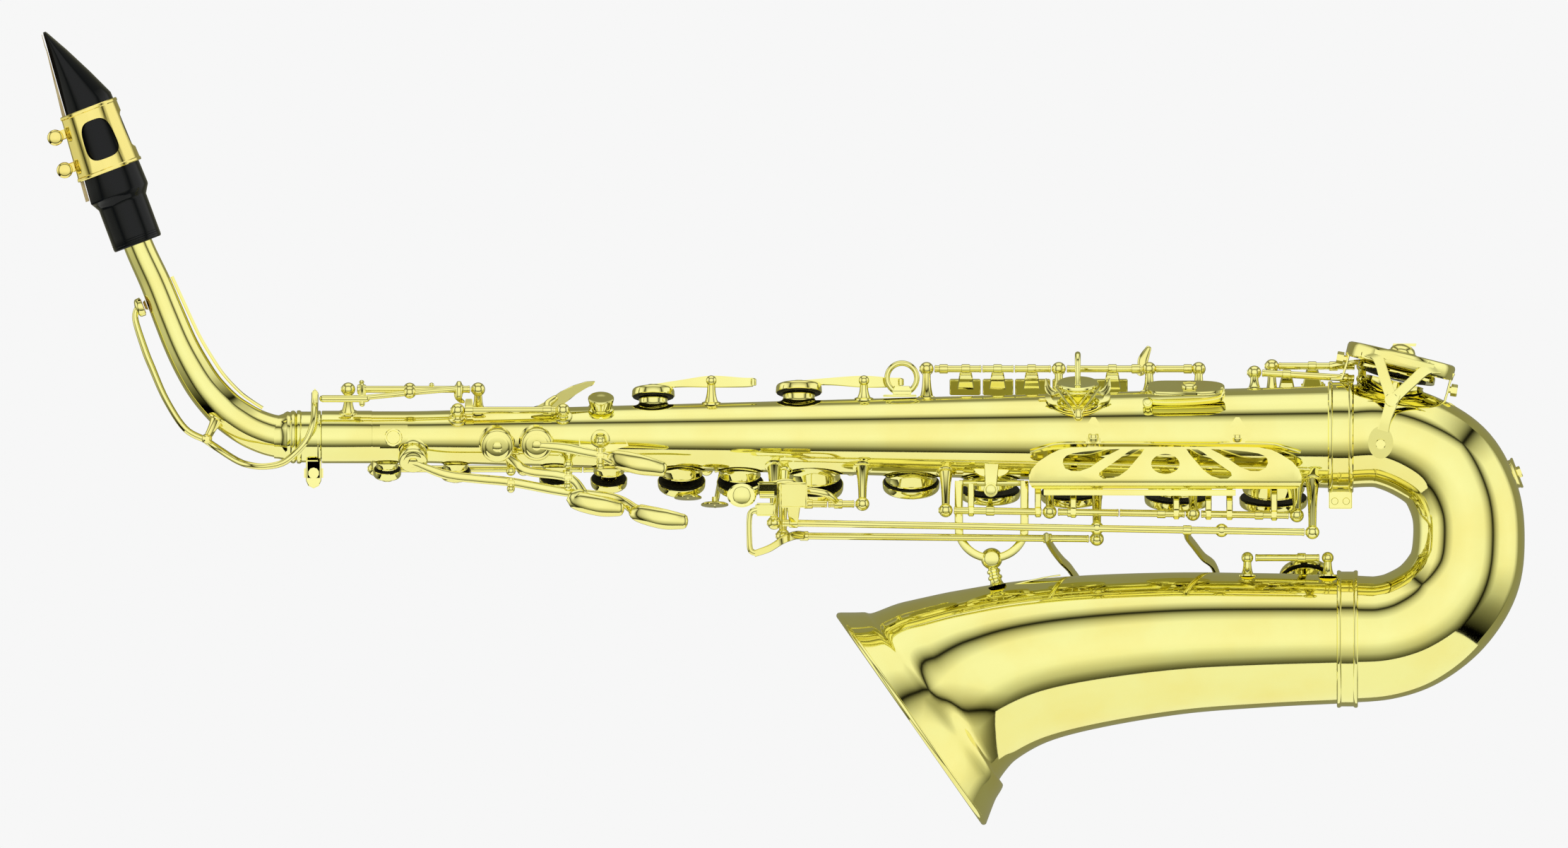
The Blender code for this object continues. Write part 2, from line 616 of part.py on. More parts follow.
NECK_PATH = (
    (-292.0, 0.0, 10.0), (-298.0, 1.2, 9.8), (-305.4, 4.1, 9.6), (-312.0, 8.0, 9.4), (-319.0, 13.4, 9.1),
    (-327.3, 22.6, 8.7), (-333.6, 32.4, 8.4), (-339.3, 43.4, 8.0), (-345.0, 57.0, 7.7), (-351.1, 72.2, 7.3),
    (-358.7, 88.9, 6.95), (-366.2, 108.6, 6.8),
)
VENT_CENTRE = Vector((-348.2, 0.0, 65.0))
VENT_OUT = Vector((-0.93, 0.0, -0.37)).normalized()
LEAN = math.radians(20.75)
UP = Vector((-math.sin(LEAN), 0.0, math.cos(LEAN)))
ACROSS = Vector((math.cos(LEAN), 0.0, math.sin(LEAN)))
SIDEWAYS = Vector((0.0, 1.0, 0.0))
SHANK = Vector((-359.4, 0.0, 90.8))

# distance along the mouthpiece, reed-side edge, back edge, half width
MOUTH = (
    (0.0, -11.8, 11.8, 11.8), (21.0, -11.7, 12.0, 11.9), (25.2, -14.1, 14.6, 14.2),
    (68.0, -10.3, 13.4, 12.8),
    (71.4, -10.0, 13.3, 12.6), (84.0, -8.9, 7.6, 11.0), (97.0, -7.7, 1.2, 9.6), (108.8, -6.7, -5.2, 8.4),
)


def mouth_point(along, off, y=0.0):
    return SHANK + UP * along + ACROSS * off + SIDEWAYS * y


def mouth_edges(along):
    """Reed-side edge, back edge and half width at a distance along the mouthpiece."""
    for low, high in zip(MOUTH, MOUTH[1:]):
        if along <= high[0]:
            t = (along - low[0]) / (high[0] - low[0])
            return [low[k] + t * (high[k] - low[k]) for k in (1, 2, 3)]
    return list(MOUTH[-1][1:])


def mouth_ring(along, grow=0.0, reed_grow=0.0, sides=20):
    """An oval section whose reed side is cut flat."""
    left, right, half = mouth_edges(along)
    flat = 0.12 if along > 24.0 else 0.0
    reach = (right - left) / (2.0 - flat)
    points = []
    for i in range(sides):
        angle = 2.0 * math.pi * (i + 0.5) / sides
        off = right - reach + (reach + grow) * math.cos(angle)
        limit = left - max(grow, reed_grow)
        points.append(mouth_point(along, max(limit, off - reed_grow * (math.cos(angle) < -0.3)),
                                  (half + grow) * math.sin(angle)))
    return points


def mouthpiece():
    rings = [mouth_ring(row[0]) for row in MOUTH]
    bore = turned(mouth_point(-2.0, 0.0), UP, [(0.0, 8.3), (30.0, 8.0), (31.0, 6.0), (66.0, 5.0)], 16)
    window = sheet([mouth_point(58.0, -2.0, y) for y in (-5.6, 5.6)]
                   + [mouth_point(105.0, -5.6, y) for y in (4.2, -4.2)], 0.0, 16.0, -ACROSS)
    return piece("mouthpiece", [skin(rings)], EBONITE, SHANK, [bore, window])


def reed():
    """A flat cane wedge that lies on the table, thick at the heel and thin at the tip."""
    rings = []
    for along, thick, half in ((27.0, 1.4, 6.4), (74.0, 1.4, 7.2), (92.0, 1.0, 7.8), (108.0, 0.4, 8.0)):
        left = mouth_edges(along)[0] - GAP
        lean = -0.3 if along > 100.0 else 0.0
        corners = ((left + lean, -half), (left + lean, half), (left + lean - thick, half * 0.9),
                   (left + lean - thick, -half * 0.9))
        rings.append([mouth_point(along, off, y) for off, y in corners])
    return piece("reed", [skin(rings)], CANE)


LIG_LOW = 36.8
LIG_HIGH = 68.4
SCREWS = ((60.5, -18.7), (44.6, -20.0))


def ligature():
    """The metal band round mouthpiece and reed, with two pairs of ears for its screws."""
    outer = skin([mouth_ring(s, 1.5, 3.1, 20) for s in (LIG_LOW, LIG_HIGH)])
    inner = skin([mouth_ring(s, 0.45, 2.0, 20) for s in (LIG_LOW - 2.0, LIG_HIGH + 2.0)])
    ears = []
    holes = [inner]
    for along, off in SCREWS:
        for side in (-1.0, 1.0):
            ears.append(turned(mouth_point(along, off, side * 2.6), SIDEWAYS * side,
                               [(0.0, 3.0), (3.2, 3.0)], 8))
            ears.append(rod(mouth_point(along, -13.0, side * 4.2), mouth_point(along, off, side * 4.2),
                            1.5))
        holes.append(rod(mouth_point(along, off, -9.0), mouth_point(along, off, 9.0), 1.7))
    windows = [turned(mouth_point(0.5 * (LIG_LOW + LIG_HIGH), 2.0, side * 7.0), SIDEWAYS * side,
                      [(0.0, 7.0), (12.0, 7.0)], 8) for side in (-1.0, 1.0)]
    return piece("ligature", [outer] + ears, cuts=holes + windows)


def ligature_screw(name, along, off):
    centre = mouth_point(along, off)
    shaft = rod(mouth_point(along, off, -10.0), mouth_point(along, off, 7.2), 1.3)
    head = turned(mouth_point(along, off, -12.5), SIDEWAYS,
                  [(0.0, 3.2), (0.6, 3.8), (4.4, 3.8), (5.0, 3.2)], 10)
    return piece(name, [shaft, head], pivot=centre)


def neck_tube():
    """The bent neck with its tenon and collar, open at both ends."""
    meshes = [pipe(NECK_PATH, 0.0, sides=NECK_SIDES), turned((-262.0, 0.0, 0.0), (-1.0, 0.0, 0.0),
              [(0.0, TENON_R), (23.0, TENON_R), (23.3, 12.2), (27.0, 12.2), (31.5, 10.0)], NECK_SIDES)]
    inner = [Vector((-258.0, 0.0, 0.0)), Vector((-285.0, 0.0, 0.0))] + [Vector((x, 0.0, z)) for x, z,
                                                                        _ in NECK_PATH]
    inner[-1] = inner[-1] + (inner[-1] - inner[-2]).normalized() * 3.0
    radii = [TENON_R - 1.1] * 2 + [r - 1.1 for _, _, r in NECK_PATH]
    meshes += post(Vector((-327.0, -5.4, -0.8)), 0.0, 2.4, Vector((-322.0, -5.2, 9.0)))
    return piece("neck_tube", meshes, cuts=[swept(inner, radii, NECK_SIDES)])


def neck_brace():
    """The flat strap soldered under the neck's bend, standing off between its two ends."""
    rings = []
    for i, (x, z, r) in enumerate(NECK_PATH[2:10]):
        ahead = Vector((NECK_PATH[i + 3][0] - NECK_PATH[i + 1][0], 0.0,
                        NECK_PATH[i + 3][1] - NECK_PATH[i + 1][1]))
        inward = Vector((ahead.z, 0.0, -ahead.x)).normalized()
        lift = r + GAP + 0.9 * math.sin(math.pi * i / 7.0)
        low = Vector((x, 0.0, z)) + inward * lift
        rings.append([low + SIDEWAYS * 2.2, low - SIDEWAYS * 2.2,
                      low + inward * 1.8 - SIDEWAYS * 2.2, low + inward * 1.8 + SIDEWAYS * 2.2])
    return piece("neck_brace", [skin(rings)])


def neck_octave_pip():
    """The small vent that the neck octave key closes."""
    base = VENT_CENTRE + VENT_OUT * 7.9
    tube = turned(base, VENT_OUT, [(0.0, 2.3), (1.1, 2.0)], 10)
    return piece("neck_octave_pip", [tube], cuts=[rod(base - VENT_OUT, base + VENT_OUT * 2.0, 0.9)])


def neck_cork():
    outer = turned(mouth_point(3.0, 0.0), UP, [(0.0, 7.5), (1.0, 7.9), (16.0, 7.8)], 16)
    inner = turned(mouth_point(1.0, 0.0), UP, [(0.0, 7.3), (19.0, 7.3)], 16)
    return piece("neck_cork", [outer], CORK, cuts=[inner])


# ---------------------------------------------------------------- keys

def hinge_tube(line, low, high, radius=ROD_R):
    return rod(on_line(line, low), on_line(line, high), radius)


def line_axis(line):
    return Vector((1.0, 0.0, line[2])).normalized()


def spin(mesh, pivot, axis, degrees):
    turn = Matrix.Rotation(math.radians(degrees), 4, Vector(axis))
    move = Matrix.Translation(pivot) @ turn @ Matrix.Translation(-Vector(pivot))
    bmesh.ops.transform(mesh, matrix=move, verts=mesh.verts)
    return mesh


def cup(rim, out, radius):
    """A key cup, its pad's face just clear of the chimney's rim."""
    start = Vector(rim) + Vector(out) * GAP
    return turned(start, out, [(0.0, radius), (CUP_DEPTH * 0.6, radius), (CUP_DEPTH, radius * 0.72)],
                  CUP_SIDES)


def hinged_key(name, line, tubes, meshes, open_by=0.0):
    """A key built shut, then turned open about its hinge line."""
    pivot = on_line(line, 0.5 * (tubes[0] + tubes[1]))
    shapes = [hinge_tube(line, *tubes)] + meshes
    shapes = [spin(shape, pivot, line_axis(line), open_by) for shape in shapes]
    return piece(name, shapes, pivot=pivot)


def arm(points, width=3.4, thick=2.2, hint=(0.0, 0.0, 1.0)):
    return swept(points, width / 2.0, 6, thick / width, hint)


def cup_arm(line, x_arm, name, lift=1.6):
    """The cup over a chimney and the arm that carries it from the hinge line."""
    x, radius, _ = HOLE[name]
    rim, out = hole_rim(name)
    top = Vector(rim) + out * (GAP + CUP_DEPTH - 0.8)
    start = on_line(line, x_arm)
    middle = start.lerp(top, 0.55) + out * lift
    return [cup(rim, out, radius + 1.6), arm([start, middle, top])]


LOWER_TUBES = {"f_sharp": (24.4, 65.7, 41.5), "f": (73.3, 102.0, 79.8), "e": (102.4, 133.1, 122.0),
               "d": (140.7, 182.0, 168.0)}
UPPER_TUBES = {"c": (-174.2, -150.4, -162.8), "b": (-150.0, -122.0, -137.9), "bis": (-121.6, -95.8, -103.7),
               "a": (-88.2, -60.4, -76.1), "g": (-60.0, -27.8, -41.2)}
FINGER_DISCS = {"bis": (-100.7, -25.4), "a": (-88.1, -28.8)}
LOWER_OPEN = -6.0
UPPER_OPEN = 6.0
BELL_OPEN = 4.5
LOW_C_OPEN = -4.0


def lower_stack():
    for name, (low, high, x_arm) in LOWER_TUBES.items():
        shapes = cup_arm(LOWER_LINE, x_arm, name)
        hinged_key(name + "_key", LOWER_LINE, (low, high), shapes, LOWER_OPEN)


def finger_disc(x, z):
    """A finger's disc below the tube, its stem bent over to the hinge line."""
    stem = [on_line(UPPER_LINE, x + 3.4), (x, 16.0, z - 1.0), (x, 4.0, z + 0.6), (x, 0.0, z)]
    return [arm(stem, 3.0, 2.2, (1.0, 0.0, 0.0)), bead((x, 0.0, z), (0.0, -0.25, -1.0), 6.5, 1.8)]


def upper_stack():
    for name, (low, high, x_arm) in UPPER_TUBES.items():
        shapes = cup_arm(UPPER_LINE, x_arm, name)
        if name in FINGER_DISCS:
            shapes += finger_disc(*FINGER_DISCS[name])
        hinged_key(name + "_key", UPPER_LINE, (low, high), shapes, UPPER_OPEN)


def g_sharp_key():
    hinged_key("g_sharp_key", UPPER_LINE, (-20.2, 4.2), cup_arm(UPPER_LINE, 0.0, "g_sharp"), 0.0)


def high_keys():
    hinged_key("high_f_sharp_key", UPPER_LINE, (-244.2, -214.2),
               cup_arm(UPPER_LINE, -238.0, "high_f_sharp", 0.6))
    hinged_key("high_e_key", UPPER_LINE, (-213.8, -181.8), cup_arm(UPPER_LINE, -206.0, "high_e", 0.6))


# name, pivot, half length of its tube, arm from cup to touch, touch ends
PALM = (
    ("palm_d", (-157.0, -18.5, -19.0), 2.9,
     ((-181.8, -16.5, -12.2), (-175.1, -17.5, -16.2), (-157.0, -18.5, -19.0), (-150.0, -22.0, -27.0)),
     ((-153.5, -23.0, -29.5), (-142.0, -26.0, -32.5), (-132.5, -25.0, -33.8))),
    ("palm_eb", (-141.9, -24.0, -8.6), 3.7,
     ((-160.0, -23.0, -4.9), (-148.5, -24.0, -7.2), (-141.9, -24.0, -8.6), (-136.0, -25.0, -11.0)),
     ((-134.0, -26.0, -10.5), (-123.0, -29.0, -13.0), (-112.5, -28.0, -15.2))),
    ("palm_f", (-184.0, -16.0, -21.2), 2.0,
     ((-215.0, -14.5, -17.6), (-200.0, -15.5, -19.6), (-184.0, -16.0, -21.2), (-160.0, -15.0, -25.6),
      (-136.0, -18.0, -28.6), (-126.0, -24.0, -34.0)),
     ((-123.5, -26.0, -35.8), (-112.0, -29.0, -38.6), (-102.5, -28.0, -39.8))),
)


def palm_keys():
    """Levers on short upright hinge tubes: a cup at one end, a curved touch at the other."""
    for name, pivot, half, path, touch in PALM:
        _, radius, _ = HOLE[name]
        rim, out = hole_rim(name)
        top = Vector(rim) + out * (GAP + CUP_DEPTH - 1.0)
        meshes = [rod(Vector(pivot) - Vector((0.0, 0.0, half)), Vector(pivot) + Vector((0.0, 0.0, half)),
                      ROD_R),
                  cup(rim, out, radius + 1.6), arm([top, *path], 4.2, 2.2, (0.0, 1.0, 0.0)),
                  swept([path[-1], *touch], [2.6, 4.0, 4.6, 3.4], 8, 0.5, (0.0, 1.0, 0.0))]
        piece(name + "_key", meshes, pivot=pivot)


SIDE_LEVERS = (("side_c", -89.7, -70.0), ("side_bb", -17.9, -0.6))


def side_levers():
    """Rocking levers on the thumb side, each with a cup at its upper end."""
    for name, x_pivot, x_tail in SIDE_LEVERS:
        _, radius, _ = HOLE[name]
        rim, out = hole_rim(name)
        top = Vector(rim) + out * (GAP + CUP_DEPTH - 1.0)
        pivot = Vector((x_pivot, 4.0, SIDE_LEVER_Z))
        meshes = [rod(pivot - Vector((0.0, 3.2, 0.0)), pivot + Vector((0.0, 3.2, 0.0)), ROD_R),
                  cup(rim, out, radius + 3.4),
                  arm([top, pivot, (x_tail, 5.0, SIDE_LEVER_Z - 0.5)], 4.6, 2.2, (0.0, 1.0, 0.0))]
        piece(name + "_lever", meshes, pivot=pivot)


SIDE_TOUCHES = (("side_e_touch", (15.3, 37.4), 30.0), ("side_c_touch", (37.8, 52.6), 45.0),
                ("side_bb_touch", (53.0, 70.1), 61.0), ("high_f_sharp_touch", (77.5, 112.6), 99.0))


def side_touches():
    """The right-hand side keys: flat touches on one long hinge line."""
    for name, tube, x in SIDE_TOUCHES:
        start = on_line(SIDE_LINE, x)
        bend = start + Vector((0.0, 9.0, -3.0))
        end = start + Vector((0.0, 15.0, -9.0))
        meshes = [arm([start, bend, end], 7.0, 2.0, (1.0, 0.0, 0.0)),
                  swept([end + Vector((-5.5, 0.0, 0.0)), end, end + Vector((5.5, 0.0, 0.0))],
                        [3.4, 4.2, 3.4], 8, 0.5,
                        (0.0, 1.0, 0.6))]
        if name == "high_f_sharp_touch":
            leaf = [(110.4, 9.0, 32.0), (112.6, 14.0, 30.0), (113.4, 16.0, 36.0), (116.2, 17.4, 42.0)]
            meshes.append(swept(leaf, [1.5, 1.5, 2.4, 1.6], 8, 0.6, (0.0, 1.0, 0.0)))
        hinged_key(name, SIDE_LINE, tube, meshes)


BELL_ARMS = {
    "low_bb": ((70.0, -8.0, -56.0), (76.0, 6.0, -61.0), (82.0, 25.0, -64.5), (82.0, 45.0, -80.0),
               (79.0, 47.0, -100.0)),
    "low_b": ((137.0, -12.0, -54.0), (142.0, 4.0, -58.5), (146.0, 22.0, -61.5), (146.0, 41.0, -77.0),
              (143.5, 42.5, -94.0)),
}


def low_bell_keys():
    """Two long hinge tubes, each with a touch at the left hand and an arm over the bell to its cup."""
    out = Vector((0.0, 1.0, 0.0))
    bb = [arm([on_line(BB_LINE, 68.5), *BELL_ARMS["low_bb"]], 5.0, 3.0, (1.0, 0.0, 0.0)),
          cup(LOW_BB_RIM, out, 20.6),
          arm([on_line(BB_LINE, -46.0), (-51.0, -27.0, -47.2), (-58.0, -36.8, -48.6)], 3.4, 2.4),
          arm([(-57.0, -36.8, -48.0), (-68.6, -36.8, -53.2), (-71.6, -36.8, -49.0), (-71.8, -36.8, -37.0),
               (-66.0, -36.8, -32.6)], 3.4, 2.4, (0.0, 1.0, 0.0)),
          slab((-64.4, -36.9, -32.4), (9.0, 2.9, 5.6))]
    hinged_key("low_bb_key", BB_LINE, (-52.2, 88.0), bb, BELL_OPEN)
    b = [arm([on_line(LONG_LINE, 134.2), *BELL_ARMS["low_b"]], 5.0, 3.0, (1.0, 0.0, 0.0)),
         cup(LOW_B_RIM, out, 19.6),
         arm([on_line(LONG_LINE, -51.0), (-51.0, -31.5, -36.0), (-51.0, -34.5, -30.0)], 4.0, 2.4,
             (1.0, 0.0, 0.0)),
         slab((-51.0, -35.0, -27.0), (12.0, 2.4, 12.0))]
    hinged_key("low_b_key", LONG_LINE, (-56.4, 189.4), b, BELL_OPEN)


def low_c_sharp_key():
    top = LOW_CS_RIM + LOW_CS_OUT * (GAP + CUP_DEPTH - 0.8)
    start = on_line(CS_LINE, 188.0)
    meshes = [cup(LOW_CS_RIM, LOW_CS_OUT, 12.6), arm([start, start.lerp(top, 0.5) + LOW_CS_OUT * 2.5, top])]
    hinged_key("low_c_sharp_key", CS_LINE, (166.2, 196.4), meshes)


def little_finger_levers():
    disc = Vector((-75.4, -33.0, -27.5))
    g_sharp = [arm([on_line(PINKY_LINE, -44.0), (-52.0, -27.0, -21.5), disc], 3.4, 2.2, (0.0, 1.0, 0.0)),
               bead(disc, (0.2, -1.0, 0.0), 5.6, 2.6)]
    hinged_key("g_sharp_touch", PINKY_LINE, (-47.0, -35.2), g_sharp)
    c_sharp = [arm([on_line(PINKY_LINE, -30.0), (-36.0, -29.6, -26.6), (-50.0, -30.4, -24.6),
                    (-62.0, -34.6, -24.2)], 3.0, 2.0, (0.0, 1.0, 0.0)),
               slab((-64.0, -35.6, -24.2), (11.6, 2.4, 6.0))]
    hinged_key("low_c_sharp_touch", PINKY_LINE, (-34.8, -22.4), c_sharp)


def low_c_key():
    """The low C cup, its arm reaching across from a hinge line on the far side."""
    top = LOW_C_RIM + LOW_C_OUT * (GAP + CUP_DEPTH - 0.8)
    start = on_line(LOW_C_LINE, 203.0)
    meshes = [cup(LOW_C_RIM, LOW_C_OUT, 18.6),
              arm([start, (210.0, 17.0, 34.4), (217.0, 14.6, 34.9), (225.0, 9.5, 35.2), top], 3.4, 2.2),
              arm([on_line(LOW_C_LINE, 193.0), (193.0, 28.0, 31.0), (193.0, 33.0, 25.0)], 4.0, 2.2,
                  (1.0, 0.0, 0.0)),
              slab((193.5, 33.6, 20.0), (11.0, 2.4, 13.0))]
    hinged_key("low_c_key", LOW_C_LINE, (177.2, 213.0), meshes, LOW_C_OPEN)


def low_eb_key():
    """The low E flat cup on the bow's far side, and its touch beside the low C touch."""
    path = [on_line(LOW_EB_LINE, 208.0), (209.5, 19.0, 25.6), (214.0, 29.0, 15.0), (226.0, 35.4, 2.0),
            (246.0, 38.0, -14.0), LOW_EB_RIM + LOW_EB_OUT * (GAP + CUP_DEPTH - 0.8)]
    meshes = [cup(LOW_EB_RIM, LOW_EB_OUT, 12.6), arm(path, 4.4, 2.4, (1.0, 0.0, 0.0)),
              arm([on_line(LOW_EB_LINE, 181.0), (181.0, 18.0, 26.0), (181.0, 27.6, 19.0)], 4.0, 2.2,
                  (1.0, 0.0, 0.0)),
              slab((180.5, 28.2, 14.6), (11.0, 2.4, 12.0))]
    hinged_key("low_eb_key", LOW_EB_LINE, (169.4, 212.8), meshes)


def octave_keys():
    """The thumb lever, the body octave key it rocks, and the neck key the pin pushes."""
    thumb = [swept([(-167.0, -13.0, 12.8), (-168.0, -8.0, 18.5), (-158.0, -4.0, 22.8),
                    (-147.0, -4.0, 25.4)],
                   [2.4, 3.6, 4.4, 2.0], 8, 0.4, (0.0, 0.0, 1.0)),
             arm([(-203.7, -13.5, 12.6), (-203.7, -11.5, 17.0)], 3.0, 2.0, (1.0, 0.0, 0.0))]
    hinged_key("thumb_octave_key", THUMB_LINE, (-205.4, -162.9), thumb)
    pin = [rod((-272.5, -12.2, 18.0), (-252.0, -12.2, 18.0), 1.4),
           arm([(-254.0, -12.4, 17.6), (-254.0, -7.5, 22.4)], 3.6, 2.4),
           arm([(-209.0, -7.5, 22.4), (-209.0, -9.0, 18.0), (-207.0, -6.0, 16.4)], 3.0, 2.0,
               (1.0, 0.0, 0.0))]
    hinged_key("body_octave_key", TOP_LINE, (-256.4, -203.2), pin)


NECK_PIVOT = Vector((-327.0, 0.0, -0.8))


def neck_octave_key():
    """A lever from the vent's cup down to a pivot, opening into a ring round the receiver."""
    lever = [(-360.0, 0.0, 60.6), (-360.6, 0.0, 55.0), (-356.2, 0.0, 41.0), (-352.9, 0.0, 32.7),
             (-346.3, 0.0, 17.7),
             (-337.3, 0.0, 4.0), (-328.0, 0.0, -1.2)]
    side_path = [(-328.0, 0.6, -1.2), (-321.5, 2.0, -5.6), (-313.0, 8.5, -11.0), (-307.0, 14.0, -13.2),
                 (-299.7, 17.0, -13.9),
                 (-291.4, 18.6, -12.2), (-284.8, 18.6, -7.2), (-279.8, 18.6, -1.2), (-276.8, 17.0, 7.1),
                 (-276.2, 9.0, 17.8), (-276.2, -1.0, 20.0)]
    meshes = [swept(lever, 1.6, 7)]
    for side in (1.0, -1.0):
        meshes.append(swept([(x + 0.2 * side, y * side, z + 0.1 * side) for x, y, z in side_path], 1.5, 7))
    meshes.append(slab((-276.2, -10.0, 19.0), (2.2, 9.0, 7.0)))
    meshes.append(rod(NECK_PIVOT + Vector((0.0, -2.6, 0.0)), NECK_PIVOT + Vector((0.0, 3.0, 0.0)), 2.4))
    meshes.append(turned(VENT_CENTRE + VENT_OUT * 9.3, VENT_OUT, [(0.0, 4.4), (2.6, 4.4), (4.0, 3.0)], 12))
    return piece("neck_octave_key", meshes, pivot=NECK_PIVOT)


# ---------------------------------------------------------------- where posts stand, and the assembly

BB_LINE = (-16.0, -47.0, -0.010)
CS_LINE = (-6.0, -56.8, 0.0)
PINKY_LINE = (-23.0, -31.5, 0.0)
THUMB_LINE = (-13.0, 12.6, 0.0)
SIDE_LEVER_Z = 26.5

POSTS = {
    LOWER_LINE: (20.6, 69.5, 136.9, 185.8),
    LONG_LINE: (-60.1, 193.1),
    BB_LINE: (-56.0, 91.7),
    UPPER_LINE: (-248.0, -178.0, -92.0, -24.0, 8.0),
    SIDE_LINE: (11.6, 73.8, 116.3, 139.6),
    LOW_EB_LINE: (165.8,),
    LOW_C_LINE: (174.0,),
    THUMB_LINE: (-209.0, -159.5),
    TOP_LINE: (-260.5, -199.4),
    PINKY_LINE: (-18.6,),
}
LOOSE_POSTS = (
    (Vector((-157.0, -18.5, -12.9)), 2.4), (Vector((-141.9, -24.0, -1.9)), 2.4),
    (Vector((-184.0, -16.0, -16.0)), 2.4),
    (Vector((-89.7, -2.4, SIDE_LEVER_Z)), 2.6), (Vector((-17.9, -2.4, SIDE_LEVER_Z)), 2.6),
)


def main():
    clear_scene()
    for make in (body_tube, bow, bell, neck_receiver, neck_clamp_screw, body_bow_ring, bow_bell_ring,
                 bell_brace, strap_ring, thumb_rest, thumb_hook, thumb_plate, stack_key_guard,
                 low_c_guard, low_eb_guard, bell_key_guard, neck_tube, neck_brace, neck_cork,
                 neck_octave_pip, mouthpiece, reed, ligature, lower_stack, upper_stack, g_sharp_key,
                 high_keys, palm_keys, side_levers, side_touches, low_bell_keys, low_c_sharp_key,
                 little_finger_levers, low_c_key, low_eb_key, octave_keys, neck_octave_key):
        make()
    for name, (along, off) in zip(("ligature_screw_upper", "ligature_screw_lower"), SCREWS):
        ligature_screw(name, along, off)


main()
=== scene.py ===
import math

import bmesh
import bpy
from mathutils import Matrix, Vector


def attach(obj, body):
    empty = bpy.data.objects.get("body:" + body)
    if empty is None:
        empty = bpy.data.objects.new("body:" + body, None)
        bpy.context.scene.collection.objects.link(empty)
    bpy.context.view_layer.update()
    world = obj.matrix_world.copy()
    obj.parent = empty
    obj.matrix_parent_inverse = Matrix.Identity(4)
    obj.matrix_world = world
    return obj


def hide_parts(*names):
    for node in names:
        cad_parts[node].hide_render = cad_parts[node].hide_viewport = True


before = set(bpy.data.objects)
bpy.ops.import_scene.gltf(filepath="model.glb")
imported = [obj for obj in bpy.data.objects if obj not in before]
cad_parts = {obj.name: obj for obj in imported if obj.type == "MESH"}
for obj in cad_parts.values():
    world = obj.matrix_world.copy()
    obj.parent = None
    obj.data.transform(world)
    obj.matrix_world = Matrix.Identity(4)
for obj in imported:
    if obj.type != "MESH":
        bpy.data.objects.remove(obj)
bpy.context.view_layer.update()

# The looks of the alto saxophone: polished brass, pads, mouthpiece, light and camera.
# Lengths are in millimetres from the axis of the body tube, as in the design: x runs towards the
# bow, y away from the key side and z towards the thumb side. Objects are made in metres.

MM = 0.001
AXIS_Z = -27.7
GAP = 0.3
WALL = 0.9

TUBE_START = -273
TUBE_END = 206
TUBE_SMALL_R = 12.1
CONE_R = 18.45
CONE_SLOPE = 0.0278
HOLE_RISE = 3.2
TENON_R = 10.5
BRACE_X = 42.2
BRACE_Y = -8
HOOK_X = 82.7
REST_X = -141.6
STRAP_R = 7
GUARD_Y = -25
GUARD_BEND_Z = -9.6       # above this the guard plate leans back
MID_X = 123.9

ROUND = 96               # sides of the large tubes
FINE = 28                # sides of balls, posts and cups
THIN = 16                # sides of rods and wires

X = Vector((1, 0, 0))
Y = Vector((0, 1, 0))
Z = Vector((0, 0, 1))


# ---------------------------------------------------------------- shapes

def basis(axis, hint=Z):
    """Two directions across an axis, and the axis itself."""
    w = Vector(axis).normalized()
    u = Vector(hint).cross(w)
    if u.length < 1e-6:
        u = Y.cross(w)
    u.normalize()
    return u, w.cross(u), w


def skin(rings, caps=True):
    """A mesh through rings of points; a ring of one point is a pole."""
    mesh = bmesh.new()
    made = [[mesh.verts.new(p) for p in ring] for ring in rings]
    if caps and len(made[0]) > 1:
        mesh.faces.new(list(reversed(made[0])))
    if caps and len(made[-1]) > 1:
        mesh.faces.new(made[-1])
    for low, high in zip(made, made[1:]):
        count = max(len(low), len(high))
        for i in range(count):
            j = (i + 1) % count
            face = [low[i % len(low)], low[j % len(low)], high[j % len(high)], high[i % len(high)]]
            mesh.faces.new(list(dict.fromkeys(face)))
    return mesh


def ring_of(centre, u, v, radius, sides, flat=1):
    """A ring of points about a centre; flat squashes it along v."""
    step = 2 * math.pi / sides
    return [Vector(centre) + u * (radius * math.cos((i + 0.5) * step))
        + v * (radius * flat * math.sin((i + 0.5) * step)) for i in range(sides)]


def turns(count):
    """Angles spread evenly over a full turn."""
    return [2 * math.pi * i / count for i in range(count)]


def turned(start, axis, profile, sides=FINE, hint=Z, caps=True):
    """A solid turned about an axis from (height, radius) pairs; a radius of 0 is a pole."""
    u, v, w = basis(axis, hint)
    rings = []
    for height, radius in profile:
        centre = Vector(start) + w * height
        rings.append([centre] if radius == 0 else ring_of(centre, u, v, radius, sides))
    return skin(rings, caps)


def signed_power(value, power):
    """A power of the size, with the sign kept."""
    return abs(value) ** power * (1 if value > 0 else -1)


def woven(rings, closed=True):
    """Faces between rings of points; a closed set also joins its last ring to its first."""
    mesh = bmesh.new()
    rows = [[mesh.verts.new(p) for p in ring] for ring in rings]
    for low, high in zip(rows, rows[1:] + rows[:1] if closed else rows[1:]):
        for i in range(len(low)):
            j = (i + 1) % len(low)
            mesh.faces.new([low[i], low[j], high[j], high[i]])
    return mesh


def hoop(start, axis, outline, sides=ROUND, hint=Z):
    """A ring turned from a closed outline of (height, radius) pairs."""
    u, v, w = basis(axis, hint)
    return woven([ring_of(Vector(start) + w * h, u, v, r, sides) for h, r in outline])


def rod(start, end, radius, sides=THIN, soft=0.25):
    """A cylinder with slightly rounded edges."""
    span = Vector(end) - Vector(start)
    e = min(soft, radius * 0.5, span.length * 0.3)
    profile = [(0, radius - e), (e * 0.3, radius - e * 0.3), (e, radius), (span.length - e, radius),
        (span.length - e * 0.3, radius - e * 0.3), (span.length, radius - e)]
    return turned(start, span, profile, sides)


